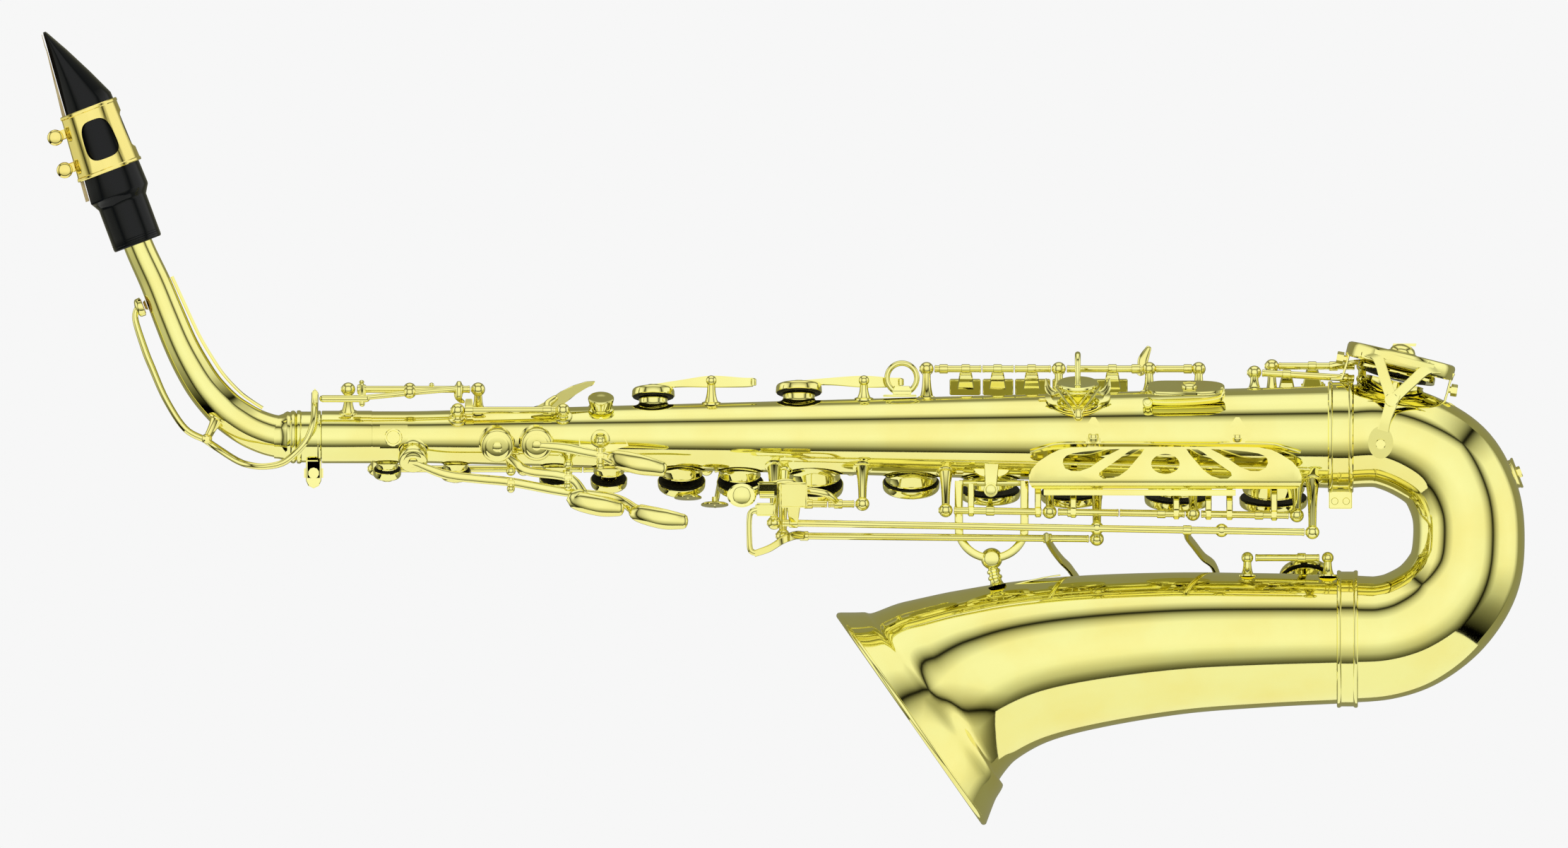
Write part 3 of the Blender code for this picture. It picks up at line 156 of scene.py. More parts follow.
def tapered(start, end, r_start, r_end, sides=FINE):
    """A post that flares at its foot and narrows to its top."""
    span = Vector(end) - Vector(start)
    profile = []
    for i in range(9):
        t = i / 8
        flare = (1 - t) ** 3
        profile.append((span.length * t, r_end + (r_start - r_end) * (0.25 * (1 - t) + 0.75 * flare)))
    return turned(start, span, profile, sides)


def ball(centre, radius, axis=X, sides=FINE):
    rows = 14
    profile = [(-radius, 0)]
    for i in range(1, rows):
        angle = math.pi * i / rows
        profile.append((-radius * math.cos(angle), radius * math.sin(angle)))
    profile.append((radius, 0))
    return turned(centre, axis, profile, sides)


def curve_points(points, steps=6):
    """A smooth curve through a list of vectors of any size."""
    rows = [tuple(p) for p in points]
    out = []
    for i in range(len(rows) - 1):
        before = rows[max(i - 1, 0)]
        after = rows[min(i + 2, len(rows) - 1)]
        a, b = rows[i], rows[i + 1]
        for s in range(steps):
            t = s / steps
            out.append(tuple(0.5 * (2 * q + (r - p) * t + (2 * p - 5 * q + 4 * r - w) * t * t
                + (3 * q - p - 3 * r + w) * t ** 3) for p, q, r, w in zip(before, a, b, after)))
    out.append(rows[-1])
    return out


def swept(points, radii, sides=THIN, flat=1, hint=Y, steps=6, round_ends=True):
    """A smooth tube along a path; flat under 1 makes its section an oval, thin along the hint."""
    if not isinstance(radii, (list, tuple)):
        radii = [radii] * len(points)
    rows = curve_points([(*p, r) for p, r in zip(points, radii)], steps)
    path = [Vector(row[:3]) for row in rows]
    size = [row[3] for row in rows]
    rings = []
    last = len(path) - 1
    for i, point in enumerate(path):
        ahead = (path[min(i + 1, last)] - path[max(i - 1, 0)]).normalized()
        u, v, _ = basis(ahead, hint)
        if round_ends and i == 0:
            for t in (0.95, 0.6):
                c = point - ahead * size[0] * t * min(flat, 1)
                rings.append(ring_of(c, u, v, size[0] * math.sqrt(1 - t * t), sides, flat))
        rings.append(ring_of(point, u, v, size[i], sides, flat))
        if round_ends and i == last:
            for t in (0.6, 0.95):
                c = point + ahead * size[-1] * t * min(flat, 1)
                rings.append(ring_of(c, u, v, size[-1] * math.sqrt(1 - t * t), sides, flat))
    return skin(rings)


def strap(points, widths, thick, across, steps=6):
    """A flat strip along a smooth path, its width lying along the vector across, edges eased."""
    if not isinstance(widths, (list, tuple)):
        widths = [widths] * len(points)
    rows = curve_points([(*p, w) for p, w in zip(points, widths)], steps)
    path = [Vector(row[:3]) for row in rows]
    side = Vector(across).normalized()
    rings = []
    last = len(path) - 1
    for i, point in enumerate(path):
        ahead = (path[min(i + 1, last)] - path[max(i - 1, 0)]).normalized()
        lift = ahead.cross(side).normalized() * (thick / 2)
        half = side * (rows[i][3] / 2)
        e = side * min(0.4, thick * 0.35)
        k = 0.55
        rings.append([point + half - e + lift, point - half + e + lift, point - half + lift * k,
            point - half - lift * k, point - half + e - lift, point + half - e - lift,
            point + half - lift * k, point + half + lift * k])
    return skin(rings)


def plate(outline, low, thick, axis, edge=0.35):
    """A flat plate with eased edges from an outline of points."""
    w = Vector(axis).normalized()
    points = [Vector(p) for p in outline]
    middle = sum(points, Vector((0, 0, 0))) / len(points)
    rings = []
    for h, pull in ((low, edge), (low + edge, 0), (low + thick - edge, 0), (low + thick, edge)):
        rings.append([p + (middle - p).normalized() * pull + w * h for p in points])
    return skin(rings)


def block(centre, size, turn=None, edge=0.4):
    """A box with bevelled edges."""
    mesh = bmesh.new()
    bmesh.ops.create_cube(mesh, size=1)
    bmesh.ops.transform(mesh, matrix=Matrix.Diagonal((*size, 1)), verts=mesh.verts)
    bmesh.ops.bevel(mesh, geom=mesh.edges[:], offset=edge, segments=3, affect="EDGES")
    place = Matrix.Translation(centre) @ (turn or Matrix.Identity(4))
    bmesh.ops.transform(mesh, matrix=place, verts=mesh.verts)
    return mesh


def screw_head(centre, normal, radius, height=1.1):
    """A slotted cheese-head screw."""
    head = turned(Vector(centre), normal, [(-0.6, radius), (height * 0.7, radius),
        (height, radius * 0.86), (height, 0)], 24)
    u, v, w = basis(normal)
    turn = Matrix((u, v, w)).transposed().to_4x4()
    slot = block(Vector(centre) + w * (height + 0.02), (radius * 1.7, 0.35, 0.12), turn, 0.03)
    return [head, slot]


def merged(meshes):
    """One mesh from many, with its faces outwards, in metres and in the part's frame."""
    whole = bmesh.new()
    for part in meshes:
        bmesh.ops.recalc_face_normals(part, faces=part.faces)
        data = bpy.data.meshes.new("part")
        part.to_mesh(data)
        part.free()
        whole.from_mesh(data)
        bpy.data.meshes.remove(data)
    bmesh.ops.transform(whole, matrix=Matrix.Scale(MM, 4) @ Matrix.Translation((0, 0, AXIS_Z)),
        verts=whole.verts)
    return whole


def mesh_object(name, meshes):
    whole = merged(meshes)
    data = bpy.data.meshes.new(name)
    whole.to_mesh(data)
    whole.free()
    obj = bpy.data.objects.new(name, data)
    bpy.context.scene.collection.objects.link(obj)
    return obj


def cut_by(obj, cutters):
    """Cuts closed shapes out of an object, and keeps only the result."""
    other = mesh_object("cutter", cutters)
    step = obj.modifiers.new("cut", "BOOLEAN")
    step.operation = "DIFFERENCE"
    step.solver = "EXACT"
    step.use_self = True
    step.object = other
    result = bpy.data.meshes.new_from_object(obj.evaluated_get(bpy.context.evaluated_depsgraph_get()))
    obj.modifiers.clear()
    obj.data = result
    bpy.data.objects.remove(other, do_unlink=True)


# ---------------------------------------------------------------- materials

def new_material(name, colour, rough, metal):
    made = bpy.data.materials.new(name)
    made.use_nodes = True
    shader = made.node_tree.nodes["Principled BSDF"]
    shader.inputs["Base Color"].default_value = (*colour, 1)
    shader.inputs["Roughness"].default_value = rough
    shader.inputs["Metallic"].default_value = metal
    return made, made.node_tree, shader


def link(tree, source, target):
    tree.links.new(source, target)


def noise_node(tree, scale, detail=3, stretch=(1, 1, 1)):
    """Noise in the object's own coordinates, optionally stretched along an axis."""
    place = tree.nodes.new("ShaderNodeTexCoord")
    mapping = tree.nodes.new("ShaderNodeMapping")
    mapping.inputs["Scale"].default_value = stretch
    grain = tree.nodes.new("ShaderNodeTexNoise")
    grain.inputs["Scale"].default_value = scale
    grain.inputs["Detail"].default_value = detail
    link(tree, place.outputs["Object"], mapping.inputs["Vector"])
    link(tree, mapping.outputs["Vector"], grain.inputs["Vector"])
    return grain


def ramp(tree, source, stops):
    node = tree.nodes.new("ShaderNodeValToRGB")
    while len(node.color_ramp.elements) < len(stops):
        node.color_ramp.elements.new(0.5)
    for element, (place, colour) in zip(node.color_ramp.elements, stops):
        element.position = place
        element.color = (*colour, 1)
    link(tree, source, node.inputs["Fac"])
    return node


def tinted(tree, shader, grain, stops):
    """Colours a material along a noise."""
    link(tree, ramp(tree, grain.outputs["Fac"], stops).outputs["Color"], shader.inputs["Base Color"])


def uneven(tree, shader, grain, low, high):
    """Varies a material's roughness along a noise."""
    node = tree.nodes.new("ShaderNodeMapRange")
    node.inputs["To Min"].default_value = low
    node.inputs["To Max"].default_value = high
    link(tree, grain.outputs["Fac"], node.inputs["Value"])
    link(tree, node.outputs["Result"], shader.inputs["Roughness"])


def bump(tree, shader, grain, strength, depth):
    node = tree.nodes.new("ShaderNodeBump")
    node.inputs["Strength"].default_value = strength
    node.inputs["Distance"].default_value = depth
    link(tree, grain.outputs["Fac"], node.inputs["Height"])
    link(tree, node.outputs["Normal"], shader.inputs["Normal"])


def brass(name, light, deep, rough):
    """Lacquered brass: faint clouding in the colour, lacquer ripple and a slightly uneven polish."""
    made, tree, shader = new_material(name, light, rough, 1)
    cloud = noise_node(tree, 34, 4)
    tinted(tree, shader, cloud, ((0.30, deep), (0.62, light)))
    polish = noise_node(tree, 420, 3, (0.35, 1, 1))
    uneven(tree, shader, polish, rough * 0.75, rough * 1.35)
    ripple = noise_node(tree, 60, 2)
    bump(tree, shader, ripple, 0.012, 0.0004)
    return made


def ebonite():
    """Polished black mouthpiece material with very fine turning marks."""
    made, tree, shader = new_material("mouthpiece_ebonite", (0.006, 0.007, 0.009), 0.12, 0)
    shader.inputs["Specular IOR Level"].default_value = 0.22
    fine = noise_node(tree, 900, 2, (1, 1, 0.3))
    uneven(tree, shader, fine, 0.09, 0.18)
    bump(tree, shader, fine, 0.02, 0.0001)
    return made


def cane():
    """Reed cane: long pale fibres with darker vascular lines."""
    made, tree, shader = new_material("reed_cane", (0.74, 0.60, 0.34), 0.5, 0)
    fibre = noise_node(tree, 260, 6, (1, 1, 0.06))
    tinted(tree, shader, fibre, ((0.3, (0.50, 0.36, 0.16)), (0.5, (0.72, 0.57, 0.30)),
        (0.7, (0.83, 0.70, 0.44))))
    bump(tree, shader, fibre, 0.15, 0.0002)
    return made


def cork():
    made, tree, shader = new_material("neck_cork_grain", (0.55, 0.36, 0.20), 0.75, 0)
    cells = noise_node(tree, 700, 5)
    tinted(tree, shader, cells, ((0.35, (0.30, 0.18, 0.09)), (0.5, (0.56, 0.37, 0.21)),
        (0.7, (0.70, 0.50, 0.31))))
    bump(tree, shader, cells, 0.4, 0.0003)
    return made


def pad_leather():
    """Dark pad leather with a fine pebble."""
    made, tree, shader = new_material("pad_leather", (0.004, 0.004, 0.004), 0.5, 0)
    shader.inputs["Specular IOR Level"].default_value = 0.2
    pebble = noise_node(tree, 1500, 3)
    uneven(tree, shader, pebble, 0.35, 0.6)
    bump(tree, shader, pebble, 0.25, 0.0002)
    return made


BRASS = brass("gold_lacquer", (0.96, 0.93, 0.37), (0.95, 0.87, 0.30), 0.05)
TRIM = brass("gold_trim", (0.96, 0.83, 0.28), (0.93, 0.79, 0.24), 0.07)
EBONITE = ebonite()
CANE = cane()
CORK = cork()
LEATHER = pad_leather()


def add(name, meshes, body, nodes, cutters=(), sharp=38, mat=BRASS):
    """A finished piece: its mesh, its material, the body it rides on and the nodes it stands for."""
    obj = mesh_object(name, meshes)
    if cutters:
        cut_by(obj, cutters)
    obj.data.materials.clear()
    obj.data.materials.append(mat)
    obj.data.shade_smooth()
    obj.data.set_sharp_from_angle(angle=math.radians(sharp))
    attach(obj, body)
    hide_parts(*nodes)
    return obj


# ---------------------------------------------------------------- the layout

def tube_r(x):
    return max(TUBE_SMALL_R, CONE_R + CONE_SLOPE * x)


def around(turn):
    """Unit vector out of the tube, turned from straight down towards +y, in degrees."""
    angle = math.radians(turn)
    return Vector((0, math.sin(angle), -math.cos(angle)))


def on_line(line, x):
    return Vector((x, line[0], line[1] + line[2] * x))


UPPER_LINE = (27.5, -15, 0)
LOWER_LINE = (-19, -34.2, -0.0145)
LONG_LINE = (-27, -41.4, -0.0176)
BB_LINE = (-16, -47, -0.010)
CS_LINE = (-6, -56.8, 0)
PINKY_LINE = (-23, -31.5, 0)
SIDE_LINE = (9, 32, 0)
THUMB_LINE = (-13, 12.6, 0)
TOP_LINE = (-7.5, 22.4, 0)
LOW_EB_LINE = (10, 40.25, -0.06)
LOW_C_LINE = (22, 33.3, 0)
SIDE_LEVER_Z = 26.5
ROD_R = 1.65
BALL_R = 3.3
POST_R = 2.2

HOLE = {"high_f_sharp": (-242.2, 5, 22), "high_e": (-210, 5.6, 22), "c": (-162.8, 6.2, 22),
    "b": (-137.9, 7, 22), "bis": (-103.7, 9.6, 22), "a": (-76.1, 9.4, 22), "g": (-41.2, 12, 22),
    "g_sharp": (4.3, 11.8, 22), "f_sharp": (41.5, 12.6, 22), "f": (79.8, 13, 22), "e": (129.9, 14.2, 22),
    "d": (174.8, 14.4, 22), "palm_f": (-230, 5.4, -55), "palm_d": (-190.4, 6.4, -78),
    "palm_eb": (-171.8, 6.2, -80), "side_c": (-117, 6.6, 168), "side_bb": (-48.5, 7.4, 168), }
BOW_PATH = ((209, 0, 24), (226, 0.6, 24.6), (243, -5, 25.2), (257, -15, 25.7), (265, -31, 26),
    (266.7, -48, 26.3), (264, -65, 26.9), (254, -80, 27.6), (240, -90, 28.6), (226, -94.4, 29.2),
    (210.5, -95, 30), )
BELL_PATH = ((208, -95, 30.3), (170, -95.6, 31.6), (130, -97, 33.4), (90, -100.8, 36), (60, -105.8, 38.6),
    (38, -112.5, 42.5), (22, -120, 48), (13.5, -126, 53.5), (5.4, -131.8, 60.2), )
RIM_CENTRE = Vector((4.5, 0, -132.5))
RIM_AXIS = Vector((-math.cos(math.radians(35)), 0, -math.sin(math.radians(35))))
RIM_R = 60.7
LOW_C_RIM = Vector((232, 2, 26.2))
LOW_C_OUT = Vector((0.235, 0.02, 0.972)).normalized()
LOW_EB_RIM = Vector((262.9, 29.3, -27))
LOW_EB_OUT = Vector((0, 1, 0))
LOW_BB_RIM = Vector((78, 41.5, -103))
LOW_B_RIM = Vector((143, 37, -97))
LOW_CS_OUT = Vector((0, 0.62, 0.78)).normalized()
LOW_CS_RIM = Vector((190, 0, -95.2)) + LOW_CS_OUT * 34.6


def hole_rim(name, extra=0):
    """The centre of a tone hole's rim, and its outward direction."""
    x, _, turn = HOLE[name]
    out = around(turn)
    return Vector((x, 0, 0)) + out * (tube_r(x) + HOLE_RISE + extra), out


def post(top, foot_r, ball_r=BALL_R, foot=None):
    """A turned post with a ball end and a thin round foot."""
    if foot is None:
        across = Vector((0, top[1], top[2])).normalized()
        foot = Vector((top[0], 0, 0)) + across * (foot_r - 0.4)
    way = (Vector(top) - Vector(foot)).normalized()
    flange = turned(Vector(foot), way, [(0, 4.6), (0.7, 4.5), (1, 3.9), (1.2, 2.6)], FINE)
    end = Vector(top) - way * (ball_r * 0.8)
    return [tapered(Vector(foot) + way * 0.8, end, POST_R * 1.5, POST_R * 0.85), ball(top, ball_r),
        flange]


# ---------------------------------------------------------------- body, bow and bell

def shell(outer, inner):
    """A thin-walled tube: an outer row of rings, an inner row, and the two edges between them."""
    return woven(list(outer) + list(reversed(inner)))


def drawn_hole(rim, out, radius, centre, axis, wall_r):
    """A tone hole drawn from the wall: a fillet on the round tube, a straight wall, a rolled rim."""
    u, v, w = basis(out, axis)
    axis = Vector(axis).normalized()
    sides = 56
    rings = []
    for spread, lift in ((2.6, -0.35), (1.7, -0.02), (1, 0.22), (0.5, 0.62), (0.16, 1.15), (0, 1.9)):
        ring = []
        for angle in turns(sides):
            point = Vector(rim) + u * ((radius + spread) * math.cos(angle)) + v * ((radius
                + spread) * math.sin(angle))
            away = point - Vector(centre)
            away = away - axis * away.dot(axis)
            side = away - w * away.dot(w)
            height = math.sqrt(max(0.5, wall_r ** 2 - side.length_squared))
            ring.append(point - w * away.dot(w) + w * (height + lift))
        rings.append(ring)
    inside = radius - 0.95
    for drop, r in ((0.75, radius), (0.5, radius + 0.3), (0.12, radius + 0.26), (0, radius - 0.2),
            (0.12, radius - 0.7), (0.6, inside), (wall_r * 0.35 + 3, inside)):
        rings.append([Vector(rim) - w * drop + u * (r * math.cos(a)) + v * (r * math.sin(a))
            for a in turns(sides)])
    return woven(rings, False)


POSTS = ((LOWER_LINE, (20.6, 69.5, 136.9, 185.8)), (LONG_LINE, (-60.1, 193.1)), (BB_LINE, (-56, 91.7)),
    (UPPER_LINE, (-248, -178, -92, -24, 8)), (SIDE_LINE, (11.6, 73.8, 116.3, 139.6)),
    (LOW_EB_LINE, (165.8,)), (LOW_C_LINE, (174,)), (THUMB_LINE, (-209, -159.5)),
    (TOP_LINE, (-260.5, -199.4)), (PINKY_LINE, (-18.6,)), )
LOOSE_POSTS = (((-157, -18.5, -12.9), 2.3), ((-141.9, -24, -1.9), 2.3), ((-184, -16, -16), 2.3),
    ((-89.7, -2.4, SIDE_LEVER_Z), 2.5), ((-17.9, -2.4, SIDE_LEVER_Z), 2.5), )


def body_tube():
    outer = []
    inner = []
    for i in range(49):
        x = TUBE_START + (TUBE_END - TUBE_START) * i / 48
        outer.append(ring_of((x, 0, 0), Y, Z, tube_r(x), ROUND))
        inner.append(ring_of((x, 0, 0), Y, Z, tube_r(x) - WALL, ROUND))
    holes = []
    for name, (x, radius, _) in HOLE.items():
        rim, out = hole_rim(name)
        holes.append(turned(Vector((x, 0, 0)) + out * 3, out, [(0, radius - 0.5),
            (tube_r(x) + 4, radius - 0.5)], 56))
    add("body_tube_skin", [shell(outer, inner)], "body", ["body_tube"], holes)
    drawn = []
    for name, (x, radius, _) in HOLE.items():
        rim, out = hole_rim(name)
        drawn.append(drawn_hole(rim, out, radius, (x, 0, 0), X, tube_r(x)))
    add("body_tone_holes", drawn, "body", ["body_tube"], sharp=50)
    posts = []
    for line, places in POSTS:
        for x in places:
            posts += post(on_line(line, x), tube_r(x))
            posts += post_screw(on_line(line, x), X)
    for top, size in LOOSE_POSTS:
        posts += post(Vector(top), tube_r(top[0]), size)
    posts += tube_on(SIDE_LINE, 119.4, 136.4, (134.5,))
    add("body_posts", posts, "body", ["body_tube"])


def post_screw(top, axis):
    """The slotted end of a hinge screw, just proud of a post's ball."""
    side = Vector(axis) * (BALL_R - 0.35)
    return screw_head(Vector(top) - side, -Vector(axis), 1.25, 0.5)


def pipe_rings(rows, sides=ROUND):
    """Rings along a curved pipe from its (x, z, radius) rows."""
    points = [Vector((x, 0, z)) for x, z, _ in rows]
    rings = []
    last = len(points) - 1
    for i, point in enumerate(points):
        ahead = points[min(i + 1, last)] - points[max(i - 1, 0)]
        u, v, _ = basis(ahead, Y)
        rings.append(ring_of(point, u, v, rows[i][2], sides))
    return rings


BOW_HOLES = ((LOW_C_RIM, LOW_C_OUT, 13.5, (231, 0, -1), (0.972, 0, -0.235), 24.6),
    (LOW_EB_RIM, LOW_EB_OUT, 11, (262.9, 0, -27), (0.25, 0, -0.97), 25.9), )
BELL_HOLES = ((LOW_BB_RIM, Vector((0, 1, 0)), 19, (78, 0, -102.6), (1, 0, -0.12), 37),
    (LOW_B_RIM, Vector((0, 1, 0)), 18, (143, 0, -96.6), (1, 0, 0.03), 32.9),
    (LOW_CS_RIM, LOW_CS_OUT, 11, (190, 0, -95.3), (1, 0, 0), 30.9), )


def hole_cutters(holes):
    return [turned(rim - out * 22, out, [(0, r - 0.5), (23, r - 0.5)], 56)
        for rim, out, r, _, _, _ in holes]


def bow():
    rows = curve_points(BOW_PATH, 8)
    outer = pipe_rings(rows)
    inner = pipe_rings([(x, z, r - WALL) for x, z, r in rows])
    add("bow_skin", [shell(outer, inner)], "body", ["bow"], hole_cutters(BOW_HOLES))
    add("bow_tone_holes", [drawn_hole(rim, out, r, centre, axis, wall)
        for rim, out, r, centre, axis, wall in BOW_HOLES], "body", ["bow"], sharp=50)
    posts = post(on_line(LOW_EB_LINE, 216), 24.2, 2.3) + post(on_line(LOW_C_LINE, 216.5), 24.2, 2.7)
    add("bow_posts", posts, "body", ["bow"])


def bell_rows(steps=8):
    """Smooth rows of the bell, the direction of each turning to the rim's axis near the end."""
    rows = curve_points(BELL_PATH, steps)
    points = [Vector((x, 0, z)) for x, z, _ in rows]
    last = len(points) - 1
    out = []
    for i, point in enumerate(points):
        ahead = (points[min(i + 1, last)] - points[max(i - 1, 0)]).normalized()
        turn = max(0, (i / last - 0.72) / 0.28)
        turn = turn * turn * (3 - 2 * turn)
        ahead = ahead.lerp(RIM_AXIS, turn).normalized()
        out.append((point, ahead, min(rows[i][2], RIM_R - 0.3)))
    return out


def bell():
    outer = []
    inner = []
    for point, ahead, r in bell_rows():
        u, v, _ = basis(ahead, Y)
        outer.append(ring_of(point, u, v, r, ROUND))
        inner.append(ring_of(point + ahead * (0.6 if r > 45 else 0), u, v, r - WALL, ROUND))
    add("bell_skin", [shell(outer, inner)], "body", ["bell"], hole_cutters(BELL_HOLES))
    add("bell_tone_holes", [drawn_hole(rim, out, r, centre, axis, wall)
        for rim, out, r, centre, axis, wall in BELL_HOLES], "body", ["bell"], sharp=50)
    roll = [(1.5 * math.sin(a), RIM_R - 1.55 + 1.5 * math.cos(a)) for a in turns(14)]
    add("bell_rim", [hoop(RIM_CENTRE, RIM_AXIS, roll, 144, Y)], "body", ["bell"])
    posts = []
    for x in (162.5, 200.3):
        posts += post(Vector((x, -6, -56.8)), 0, 2.8, Vector((x, -7.5, -66)))
    add("bell_posts", posts, "body", ["bell"])


def banded(x_low, x_high, z, inner, lines):
    """A sleeve with raised beads: lines are (x, radius) pairs along its outside."""
    outline = [(0, inner), (0, lines[0][1])] + [(x - x_low, r) for x, r in lines] + [(x_high - x_low,
        lines[-1][1]), (x_high - x_low, inner)]
    return hoop((x_low, 0, z), X, outline, ROUND)


def body_rings():
    low, high = 200.4, 212.4
    beads = [(low, 25.6), (low + 0.5, 26.3), (low + 1.2, 26.4), (low + 1.9, 26.2), (low + 2.3, 25.7),
        (206.3, 25.75), (high - 2.3, 25.7), (high - 1.9, 26.2), (high - 1.2, 26.4), (high - 0.5, 26.3),
        (high, 25.6)]
    ring = [banded(low, high, 0, 24.9, beads), block((206.3, 1.9, -29.6), (11, 2.4, 8.4)),
        block((206.3, -1.9, -29.6), (11, 2.4, 8.4))]
    for x in (203.6, 209):
        ring += screw_head(Vector((x, -3.1, -30.2)), -Y, 1.7)
        ring.append(rod((x, -1, -30.2), (x, 1, -30.2), 0.9))
    add("body_bow_ring_skin", ring, "body", ["body_bow_ring"])
    low, high = 204.6, 214.5
    beads = [(low, 31.8), (low + 0.4, 32.3), (low + 1.1, 32.4), (low + 1.8, 32.1), (low + 2.1, 31.75),
        (high - 2.1, 31.75), (high - 1.8, 32.1), (high - 1.1, 32.4), (high - 0.4, 32.3), (high, 31.8)]
    add("bow_bell_ring_skin", [banded(low, high, -95, 31.2, beads)], "body", ["bow_bell_ring"])
    ring = [hoop((-279, 0, 0), X, [(-5.8, 10.95), (-5.8, 12), (-5.4, 12.5), (-4.4, 12.6), (-3.8, 12.3),
        (-3.5, 12), (4, 12), (4.5, 12.4), (5.2, 12.4), (5.7, 12), (5.7, 10.95)], ROUND)]
    for side in (-1, 1):
        ring.append(block((-276.8, side * 2.5, -15.4), (7, 4, 9), edge=0.6))
        lug = [(-280.4, -9.4), (-280.4, -20.6), (-279.3, -23), (-276.8, -24.2), (-274.3, -23),
            (-273.2, -20.6), (-273.2, -9.4)]
        ring.append(plate([(x, side * 0.6, z) for x, z in lug], 0, 3.9, Y * side, 0.4))
        ring += screw_head(Vector((-276.8, side * 4.6, -17)), Y * side, 1.7, 0.4)
    add("neck_receiver_skin", ring, "body", ["neck_receiver"])


# ---------------------------------------------------------------- fixed fittings

def bell_brace():
    """The flat U-shaped band between body and bell, with its ball, ringed stem and cross bolt."""
    arc = [Vector((BRACE_X + 15.4 * math.cos(a), BRACE_Y, -43 + 14 * math.sin(a)))
        for a in (math.pi * i / 10 + math.pi for i in range(11))]
    path = [Vector((BRACE_X - 15.4, BRACE_Y, -20.6))] + arc + [Vector((BRACE_X + 15.4, BRACE_Y, -20.6))]
    band = strap(path, 5.6, 3.9, Y, 4)
    ball_at = Vector((BRACE_X, BRACE_Y, -57.2))
    stem = [(0, 2.9), (1.6, 3), (2.2, 2.4), (3, 2.3), (3.6, 3.1), (4.6, 3.2), (5.2, 2.5), (6, 2.5),
        (6.6, 3.3), (7.6, 3.4), (8.2, 2.7), (9.2, 2.8), (10.6, 3.4), (11.2, 4.4)]
    meshes = [band, ball(ball_at, 5.1), turned(ball_at - Z * 2, Vector((2.2, -1, -9.2)), stem)]
    meshes += screw_head(ball_at - Y * 4.2, -Y, 3.5, 0.9)
    meshes.append(rod((BRACE_X - 15.4, BRACE_Y, -21.7), (BRACE_X + 15.4, BRACE_Y, -21.7), 1.45))
    for x in (BRACE_X - 15, BRACE_X + 15.6):
        meshes.append(block((x, BRACE_Y, -14), (3.8, 5.6, 5.6)))
    oval = [(BRACE_X + 8.9 * math.cos(a), BRACE_Y - 2, -15 + 4.6 * math.sin(a)) for a in turns(40)]
    meshes.append(plate(oval, 0, 2.4, -Y, 0.8))
    meshes.append(strap([(BRACE_X, BRACE_Y - 4.6, -10.8), (BRACE_X - 0.2, BRACE_Y - 6, -17),
        (BRACE_X - 0.4, BRACE_Y - 6.4, -24.6)], [7.6, 6.6, 5.4], 3.6, X))
    bolt = Vector((BRACE_X - 0.4, BRACE_Y - 6, -24.9))
    meshes.append(turned(bolt, -Y, [(-4, 3), (0, 3.4), (2.6, 3.4), (3.2, 3.2), (3.3, 2.6), (3, 2.4),
        (3, 0)], 36))
    meshes += screw_head(bolt - Y * 2.9, -Y, 2.3, 0.6)
    meshes.append(brace_foot())
    add("bell_brace_band", meshes, "body", ["bell_brace"])


def on_tube(outline, low, high):
    """A thin plate wrapped on the tube's near side, from its outline of (x, z) pairs."""
    return skin([[Vector((x, -math.sqrt(max(1, (tube_r(x) + lift) ** 2 - z * z)), z))
        for x, z in outline] for lift in (low, high)])


def strap_ring():
    loop = hoop((0, 0, -AXIS_Z), Y, [(1.3 * math.sin(a), STRAP_R + 1.3 * math.cos(a)) for a in turns(16)],
        64)
    foot = plate([(-4.4, 0, 21.4), (4.4, 0, 21.4), (3.7, 0, 19.6 + 4), (3.5, 0, 22.4 + 1.6),
        (-3.5, 0, 24), (-3.7, 0, 23.6)], -1.5, 3, Y)
    wedge = block((0, 0, 20.9), (8.8, 3, 2.4))
    base = block((-1, 0, tube_r(0) + 0.9), (16, 8, 1.2))
    add("strap_ring_loop", [loop, foot, wedge, base], "body", ["strap_ring"])


def thumb_rest():
    out = Vector((0, -0.47, 0.883))
    base = Vector((REST_X, 0, 0)) + out * (tube_r(REST_X) + GAP)
    profile = [(0, 5.2), (0.3, 6), (0.8, 6.1), (1.1, 5.2), (1.5, 5.2), (5.2, 6.1), (5.9, 6.1), (6.3, 5.7),
        (6.4, 4.6), (6.15, 2), (6.1, 0)]
    add("thumb_rest_button", [turned(base, out, profile, 48)], "body", ["thumb_rest"])


